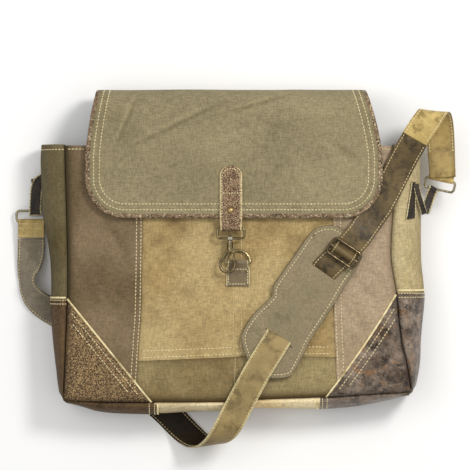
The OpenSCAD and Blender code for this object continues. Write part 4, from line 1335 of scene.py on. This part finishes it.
# out of the pad's upper slit, under the adjuster and up past the flap
upper_route = [(103.9, -6.0, 66.0), (105.6, -3.5, 68.5), (109, 0.4, 69.4), (118, 9, 69.5),
               (131, 21, 69.4), (141, 32, 69.4), (145, 36.6, 69.2), (149, 42, 67.4),
               (153, 48, 65.5), (159, 56.5, 63.8), (170, 72.5, 62.9), (183, 97, 62.9),
               (195, 121, 65.2), (203, 136, 69), (212, 151.5, 73)]
upper_width = [(.826, -.564, 0)] * 8 + [(.83, -.56, 0)] * 2 + [(.85, -.52, 0), (.89, -.46, 0),
                                                             (.88, -.47, 0), (.87, -.5, 0),
                                                             (.86, -.51, 0)]
rows = lay(smooth_route(upper_route, 5), smooth_route(upper_width, 5))
strap("strap_upper", rows, ("olive", "olive", "ply"), "strap_upper_run",
      20, [(2, 1)])

# from the right ring up, round its curl and down onto the upper run
top_route = [(244.2, 104.5, 42.6), (243.2, 122, 41.4), (242.4, 140, 38.8), (241.6, 157, 38.8),
             (240, 170, 42.2), (237.2, 178.2, 49.5), (234, 180.8, 59), (230.8, 178.4, 68.4),
             (226, 172.5, 74.2), (219.5, 163.5, 75.6), (214, 155, 74.4), (210.5, 149, 73.0)]
top_width = [(.98, -.2, 0), (.985, -.17, 0), (.99, -.12, 0), (.995, -.07, 0), (.995, -.06, 0),
             (.995, -.08, 0), (.993, -.11, 0), (.985, -.17, 0), (.94, -.33, 0), (.885, -.465, 0),
             (.86, -.51, 0), (.86, -.51, 0)]
half = np.concatenate([np.linspace(15.0, 16, 12), np.full(6 * 11 + 1 - 12, 16.0)])
rows = lay(smooth_route(top_route, 6), smooth_route(top_width, 6), half)
# painted shade on the back of the curl, darkest towards its edges
inside = smoothstep(rows[:, MID, 2], 66, 44)[:, None]
shade = 0.30 * inside + 0.5 * inside * smoothstep(np.abs(ACROSS), 0.6, 1.0)[None, :]
strap("strap_top", rows, ("gold", "gold", "ply_dark"), "strap_top_run",
      None, [(10, 2)], [(10, 2)],
      {"shade": shade}, "thread")


# wraps round the side rings, and their tabs
def wrap(name, centre, turn, reach, half, plies, r, mats, body, node, slot, sew):
    """leather round a bar along X at the centre, its plies running to y = reach"""
    side = math.copysign(1, reach)
    path = [(0, reach, -plies / 2 - 0.2), (0, reach * 0.55, -plies / 2 - 0.2),
            (0, side * 2.4, -plies / 2 - 0.1)]
    for w in np.linspace(-90, 90, 9):
        c, q = math.cos(math.radians(w)), math.sin(math.radians(w))
        path.append((0, -side * r * c, r * q))
    path += [(0, side * 2.4, plies / 2 + 0.1), (0, reach * 0.55, plies / 2 + 0.2),
             (0, reach, plies / 2 + 0.2)]
    path = smooth_route(path, 3)
    rows = lay(path, np.array([[1.0, 0, 0]] * len(path)), half)
    a = math.radians(turn)
    spin = np.array([[math.cos(a), -math.sin(a), 0], [math.sin(a), math.cos(a), 0], [0, 0, 1]])
    rows = rows @ spin.T + np.asarray(centre, float)
    obj, top, low = ribbon(name, rows, 1.5, mats)
    place(obj, body, node, slot)
    outer, _ = upper_first(top, low, -3)
    seam = Seam()
    for k in sew:
        seam.line(outer[len(path) - 1 - k, 1:-1], 2.6, 0.8, 0.55, 0.2)
    if sew:
        place(seam.build("seams_" + name, "thread"), body)


wrap("wrap_left", (-238.8, 52.8, 6.5), 0, -19.0, 15.4, 3.9, 2.5,
     ("gold", "gold", "ply"), "left_link", ["strap_wrap_left"], "strap_gold", (1, 4, 6))
a = math.radians(-12)
bar = np.array([241 - 6.5 * math.sin(a), 96.5 + 6.5 * math.cos(a), 38])
wrap("wrap_right", bar, -12, 14.0, 14.6, 3.9, 2.5, ("gold", "gold", "ply_dark"), "right_link",
     ["strap_wrap_right"], "strap_gold", ())


TAB = ("tab", "tab", "ply")


def loop_tab(name, routes, widths, halves, node=()):
    """plies of a side tab, each with its own route. The first stands for the node"""
    for k, (route, width, half) in enumerate(zip(routes, widths, halves)):
        path = smooth_route(route, 5)
        rows = lay(path, smooth_route(width, 5), half)
        obj, top, low = ribbon("%s_%d" % (name, k), rows, 1.8, TAB)
        place(obj, "bag", node if k == 0 else (), "leather_tab")
        seam = Seam()
        edge_stitches(seam, *upper_first(top, low, len(path) // 2), (2, 2), 0.4)
        place(seam.build("seams_%s_%d" % (name, k), "thread_dim"), "bag")


loop_tab("tab_left_ply",
         [[(-234, 60.5, 6.9), (-234, 62.8, 3.9), (-234, 65.8, 3.3), (-234, 69, 3.8),
           (-233.5, 80, 4.2), (-233, 92, 4.6)],
          [(-234, 61.5, 9.2), (-234, 65.8, 10.0), (-234, 70, 9.7), (-233.5, 80, 9.4),
           (-232.4, 92, 9.8), (-229, 100, 10.2), (-222, 104, 10.4)],
          [(-238, 97, 8.0), (-228, 98.5, 8.6), (-218, 97.5, 9.4), (-208, 96, 9.4)]],
         [[(1, 0, 0)] * 6, [(1, 0, 0)] * 4 + [(1, .1, 0), (.9, -.5, 0), (.5, -.9, 0)],
          [(0, 1, 0)] * 4],
         [7.0, 7.0, 6.5], ["tab_left"])


def on_side(x, y):
    """height of the right side fold's outer surface"""
    out, up = fold_profile(np.linspace(0, 0.5, 80))
    k = int(np.argmax(out)) + 1
    return np.interp((x - right_edge(y)) / right_out(y), out[:k], up[:k])


def side_ply(name, ends_a, ends_b, lift, node=()):
    """a flat piece of leather sewn on the right side fold, between two lines"""
    t = np.linspace(0, 1, 18)[:, None]
    a = np.array(ends_a[0]) + (np.array(ends_a[1]) - np.array(ends_a[0])) * t
    b = np.array(ends_b[0]) + (np.array(ends_b[1]) - np.array(ends_b[0])) * t
    q = (ACROSS[None, :, None] + 1) / 2
    xy = a[:, None, :] * (1 - q) + b[:, None, :] * q
    z = on_side(xy[..., 0], xy[..., 1]) + lift
    rows = np.concatenate([xy, z[..., None]], axis=2)
    obj, top, low = ribbon(name, rows, 1.6, TAB)
    place(obj, "bag", node, "leather_tab")
    seam = Seam()
    edge_stitches(seam, *upper_first(top, low, 9), (1, 1), 0.42, 2)
    place(seam.build("seams_" + name, "thread"), "bag")


side_ply("tab_right_flat", ((207.5, 99), (200.4, 55.5)), ((212.0, 99), (211.6, 57.5)), 2.6,
         ["tab_right"])
# the eyelet: a dark disc on the right tab, painted shadow in its opening
EYE_SIDES = 12
eye = [(209.8 + 1.3 * math.cos(w), 95.3 + 1.3 * math.sin(w))
       for w in np.linspace(0, 6.283, EYE_SIDES + 1)[:-1]]
eye = np.array([(x, y, float(on_side(x, y)) + 3.9) for x, y in eye])
faces = [tuple(range(EYE_SIDES)), tuple(range(2 * EYE_SIDES - 1, EYE_SIDES - 1, -1))]
for i in range(EYE_SIDES):
    j = (i + 1) % EYE_SIDES
    faces.append((i, i + EYE_SIDES, j + EYE_SIDES, j))
place(add_mesh("tab_eye", np.concatenate([eye, eye - np.array([0, 0, 1.2])]), faces,
               [MAT["hole_shadow"]]), "bag")
loop_tab("tab_right_ply",
         [[(212.6, 97, 50.5), (215.2, 85, 49.5), (219, 73, 47), (222.6, 62, 43.5)],
          [(234.5, 93.5, 41.0), (232.6, 90, 41.2), (230.0, 84, 40.5), (226.5, 73, 40.5),
           (222.5, 63.5, 43.0)],
          [(235.6, 92.6, 35.2), (232.8, 88, 34.8), (229, 78, 35.6), (224, 64, 39.5)]],
         [[(.96, .1, -.2)] * 4, [(.94, -.3, -.2)] * 5, [(.94, -.3, -.2)] * 4],
         [3.6, 5.2, 5.2])

# ---------------------------------------------------------------- clasp tab and D-ring patch
CLASP_X, CLASP_Y = -3.5, 45.3
path = [(CLASP_X, 60, 67.6), (CLASP_X, 54, 67.8), (CLASP_X, 49, 68.3)]
half = [12, 12, 12]
for w in np.linspace(-80, 80, 9):
    path.append((CLASP_X, CLASP_Y - 2.5 * math.cos(math.radians(w)),
                 70.7 + 2.5 * math.sin(math.radians(w))))
    half.append(12.2)
for y in (49, 53, 58, 64, 70, 78, 86, 94, 102, 106):
    path.append((CLASP_X, y, 71.5 + 0.7 * smoothstep(y, 64, 49)))
    half.append(12.2 + 0.9 * float(smoothstep(y, 46, 60)))
for w in (15, 30, 45, 60, 72, 80, 85):
    path.append((CLASP_X, 104.7 + 13.0 * math.sin(math.radians(w)), 71.4 - 0.2 * (w > 75)))
    half.append(13.1 * math.cos(math.radians(w)) + 0.4)
path, half = np.array(path), np.array(half)
path[:, 2] += 0.25 * np.array([noise.noise(Vector((0.3, p[1] / 14.0, 9.0))) for p in path])
fine = smooth_route(np.column_stack([path, half]), 3)
rows = lay(fine[:, :3], np.array([[1.0, 0, 0]] * len(fine)), fine[:, 3])
tab, top, low = ribbon("clasp_leather", rows, 1.9, ("speckled", "patch", "raw"))
outer, _ = upper_first(top, low, -20)
if outer is low:
    swap_faces(tab)
place(tab, "flap", ["clasp_tab"], "leather_speckled")
tab_top = float(outer[-20, MID, 2])
seam = Seam()
SEW_HALF = 10.6
border = [(CLASP_X + SEW_HALF, 56, tab_top + 0.1), (CLASP_X + SEW_HALF, 104, tab_top + 0.1)]
for w in np.linspace(0, 180, 15)[1:-1]:
    border.append((CLASP_X + SEW_HALF * math.cos(math.radians(w)),
                   104 + SEW_HALF * math.sin(math.radians(w)), tab_top + 0.05))
border += [(CLASP_X - SEW_HALF, 104, tab_top + 0.1), (CLASP_X - SEW_HALF, 56, tab_top + 0.1)]
seam.line(border, 2.3, 0.9, 0.52)
seam.line([(-13.5, 86, tab_top + 0.15), (6.5, 86, tab_top + 0.15)], 2.3, 0.9, 0.52)
place(seam.build("seams_clasp", "thread"), "flap")

# patch: a square of leather whose upper end loops round the D-ring's bar
DRING_X = 4.7
path = []
for y in (-22.2, -18, -12, -6, -1):
    path.append((DRING_X, y, 61.7 + 0.9 * float(smoothstep(y, -6, 2))))
for w in np.linspace(100, -90, 10):
    path.append((DRING_X, 5.2 + 2.8 * math.cos(math.radians(w)),
                 63.8 + 2.6 * math.sin(math.radians(w))))
path += [(DRING_X, 0, 60.8), (DRING_X, -8, 60.4)]
fine = smooth_route(path, 3)
half = np.where(fine[:, 1] < -1, 13.8, 12.0 + 1.8 * smoothstep(fine[:, 1], 1.5, -2))
rows = lay(fine, np.array([[1.0, 0, 0]] * len(fine)), half)
patch, top, low = ribbon("dring_leather", rows, 1.4, ("patch", "patch", "raw"))
place(patch, "bag", ["dring_patch"], "leather_patch")
outer, _ = upper_first(top, low, 4)
z = float(outer[4, MID, 2]) + 0.12
seam = Seam()
box = [(-6.4, -19.8), (15.8, -19.8), (15.8, -2.6), (-6.4, -2.6), (-6.4, -19.8)]
for (xa, ya), (xb, yb) in zip(box, box[1:]):
    seam.line([(xa, ya, z), (xb, yb, z + 0.02)], 2.4, 0.9, 0.55)
place(seam.build("seams_patch", "thread"), "bag")

# ---------------------------------------------------------------- shoulder pad
PAD = [(88.9, 39.6), (68.2, 10.4), (47.5, -19.2), (45.6, -27), (44.9, -32.6), (40, -38),
       (26.1, -51.3), (18.5, -60.5), (12.8, -69.9), (9.4, -77.6), (8.4, -84.7), (11, -96),
       (17, -110), (26, -122), (39.5, -128.9), (52, -129.8), (64.9, -127.5), (70.3, -120.8),
       (81, -102.1), (88.9, -86), (111.7, -51.3), (129.1, -21.9), (140, -6), (146.4, 6),
       (143, 22), (133, 37), (119.7, 47), (109, 48.6), (99.6, 46.4)]
AXIS_A, AXIS_B = np.array([50.0, -76.0]), np.array([108.0, 8.0])


def closed_curve(points, k):
    p = np.asarray(points, float)
    out = []
    for i in range(len(p)):
        out += bend(p[i - 1], p[i], p[(i + 1) % len(p)], p[(i + 2) % len(p)], k)
    return np.array(out)


rim = closed_curve(PAD, 8)
run = AXIS_B - AXIS_A
t = np.clip(((rim - AXIS_A) @ run) / (run @ run), 0, 1)
core = AXIS_A + t[:, None] * run
away = np.linalg.norm(rim - core, axis=1)
PROFILE = [(0.0, 65.6), (0.15, 66.3), (0.7, 66.9), (2.2, 67.15), (3.6, 67.1), (4.6, 66.65),
           (5.6, 67.25), (8.0, 67.75), (12.0, 67.95), (18.0, 68.0)]
PAD_TOP, PAD_DEEP = 68.0, 18.0


def pad_loop(part, z):
    """a loop of the pad's outline, a part of the way in towards its core"""
    return np.column_stack([rim + (core - rim) * part[:, None], z + 0 * part])


loops = [pad_loop(np.minimum(d / away, 0.97), z) for d, z in PROFILE]
loops += [pad_loop(np.maximum(np.minimum(PAD_DEEP / away, 0.97), least), PAD_TOP)
          for least in (0.62, 0.75, 0.88, 0.97)]
loops = np.array(loops)
depths = [d for d, _ in PROFILE] + [20] * 4
slot_low_a, slot_low_b = np.array([36.8, -71.3]), np.array([66.2, -92.7])
slot_up_a, slot_up_b = np.array([92.3, 5.6]), np.array([117.7, -12.5])


def slit_dip(x, y, a, b, depth):
    run = b - a
    t = np.clip(((x - a[0]) * run[0] + (y - a[1]) * run[1]) / (run @ run), 0, 1)
    d = np.hypot(x - a[0] - t * run[0], y - a[1] - t * run[1])
    return depth * np.exp(-(d / 3.2) ** 2)


flat = loops.reshape(-1, 3)
soft = 0.28 * wob(flat[:, 0], flat[:, 1], 38, 6.0) + 0.12 * wob(flat[:, 0], flat[:, 1], 15, 2.0)
flat[:, 2] += soft * np.repeat(smoothstep(depths, 0, 6), len(rim))
flat[:, 2] -= slit_dip(flat[:, 0], flat[:, 1], slot_low_a, slot_low_b, 0.8)
flat[:, 2] -= slit_dip(flat[:, 0], flat[:, 1], slot_up_a, slot_up_b, 0.8)
under = loops[:5].copy()
under[:, :, 2] = np.array([64.8, 64.1, 63.75, 63.6, 63.6])[:, None]
k = len(rim)
verts = np.concatenate([flat, under.reshape(-1, 3)])
base = len(loops) * k
faces = tube_faces(len(loops), k) + [tuple(base - k + j for j in range(k))]
which = [0] * len(faces)
for j in range(k):
    q = (j + 1) % k
    faces.append((j, base + j, base + q, q))
    which.append(1)
    for i in range(4):
        faces.append((base + i * k + j, base + (i + 1) * k + j, base + (i + 1) * k + q,
                      base + i * k + q))
        which.append(1)
faces.append(tuple(base + 4 * k + j for j in range(k)))
which.append(1)
# painted shade on the pad: its rounded rim, the groove of its stitch line and its underside
shade = np.zeros(len(verts))
shade[:2 * k] = 0.8
shade[5 * k:6 * k] = 0.35
shade[base:] = 0.7
pad = add_mesh("pad_soft", verts, faces, [MAT["pad"], MAT["patch"]], which, True,
               {"shade": shade, "tint": np.clip(0.4 * wob(verts[:, 0], verts[:, 1], 30, 2), 0, 0.5)})
turn_out(pad)
slit_a, slit_run = (slot_low_a + slot_low_b) / 2, np.array([53.5, 78.5])
between = (verts[:, :2] - slit_a) @ slit_run / (slit_run @ slit_run)
free = np.zeros(len(verts))
free[:base] = np.repeat(smoothstep(depths, 5.6, 11), k)
free *= smoothstep(between, 0.02, 0.22) * smoothstep(between, 0.98, 0.78)
MOST_SWELL = 1.2
swell(pad, free, MOST_SWELL)
place(pad, "pad", ["pad_face", "pad_foam", "pad_backing", "pad_slot_low", "pad_slot_up"],
      "pad_cloth")
seam = Seam()
line = loops[5]
seam.line(np.concatenate([line, line[:1]]) + np.array([0, 0, 0.15]), 2.8, 1.1, 0.58)
place(seam.build("seams_pad", "thread"), "pad")


# a thin dark sheet along a slit on the pad's top: painted shadow in the opening
def slit(name, a, b, body):
    run = b - a
    n = np.array([-run[1], run[0]]) / np.linalg.norm(run)
    pts = []
    for t in np.linspace(0, 1, 17):
        c = a + run * t
        w = 0.75 * math.sin(math.pi * min(max(t, 0.02), 0.98)) ** 0.4
        pts.append([(*(c - n * w), 67.55), (*(c - n * w * 0.3), 67.85), (*(c + n * w * 0.3), 67.85),
                    (*(c + n * w), 67.55)])
    obj = slab(name, np.array(pts), 0.8, [MAT["hole_shadow"]])
    return place(obj, body)


out = unit(slot_low_a - slot_low_b)
slit("slit_low", slot_low_a + 0.5 * out, slot_low_b - 2.5 * out, "pad")
out = unit(slot_up_a - slot_up_b)
slit("slit_up", slot_up_a + 2.5 * out, slot_up_b - 0.5 * out, "pad")

# ---------------------------------------------------------------- adjuster
w = math.radians(-34)
fx, fy = np.array([math.cos(w), math.sin(w), 0]), np.array([-math.sin(w), math.cos(w), 0])
path, width = [], []
for s in np.linspace(-11.5, 11.5, 33):
    rise = 6.0 * max(math.cos(math.radians(12 * s)), 0) ** 2 if abs(s) < 7.5 else 0.0
    path.append(np.array([127.9, 16.3, 72.0 + rise]) + fy * s)
    width.append(fx)
rows = lay(path, width, 14.5)
# tint: painted highlight on the top of the hump
hump, top, low = ribbon("adjuster_hump", rows, 2.2, ("olive", "olive", "ply"),
                        paint={"tint": 0.75 * smoothstep(np.array(path)[:, 2], 73, 77.5)})
place(hump, "adjuster", ["strap_hump"], "strap_dark")
seam = Seam()
edge_stitches(seam, *upper_first(top, low, 16))
place(seam.build("seams_adjuster", "thread_dim"), "adjuster")

# ---------------------------------------------------------------- metal stays as the CAD has it
FINISH = {"buckle_frame": "steel", "clasp_ring": "bronze", "swivel_eye": "bright",
          "snap_hook": "bronze", "gate_pin": "brass", "hook_gate": "bronze", "d_ring": "ring",
          "ring_left": "nickel", "ring_right": "nickel", "tab_rivet": "brass"}
for node, mat in FINISH.items():
    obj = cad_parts[node]
    obj.data.materials.clear()
    obj.data.materials.append(MAT[mat])

# ---------------------------------------------------------------- floor
n = Net("floor_pale")
tone = n.mix(n.noise(3.0, 2, 0.5), (0.93, 0.93, 0.93, 1), (0.95, 0.95, 0.95, 1))
n.finish(tone, 0.75, specular=0.1)
floor = add_mesh("floor", [(-4000, -4000, -0.3), (4000, -4000, -0.3), (4000, 4000, -0.3),
                           (-4000, 4000, -0.3)], [(0, 1, 2, 3)], [n.mat], smooth=False)
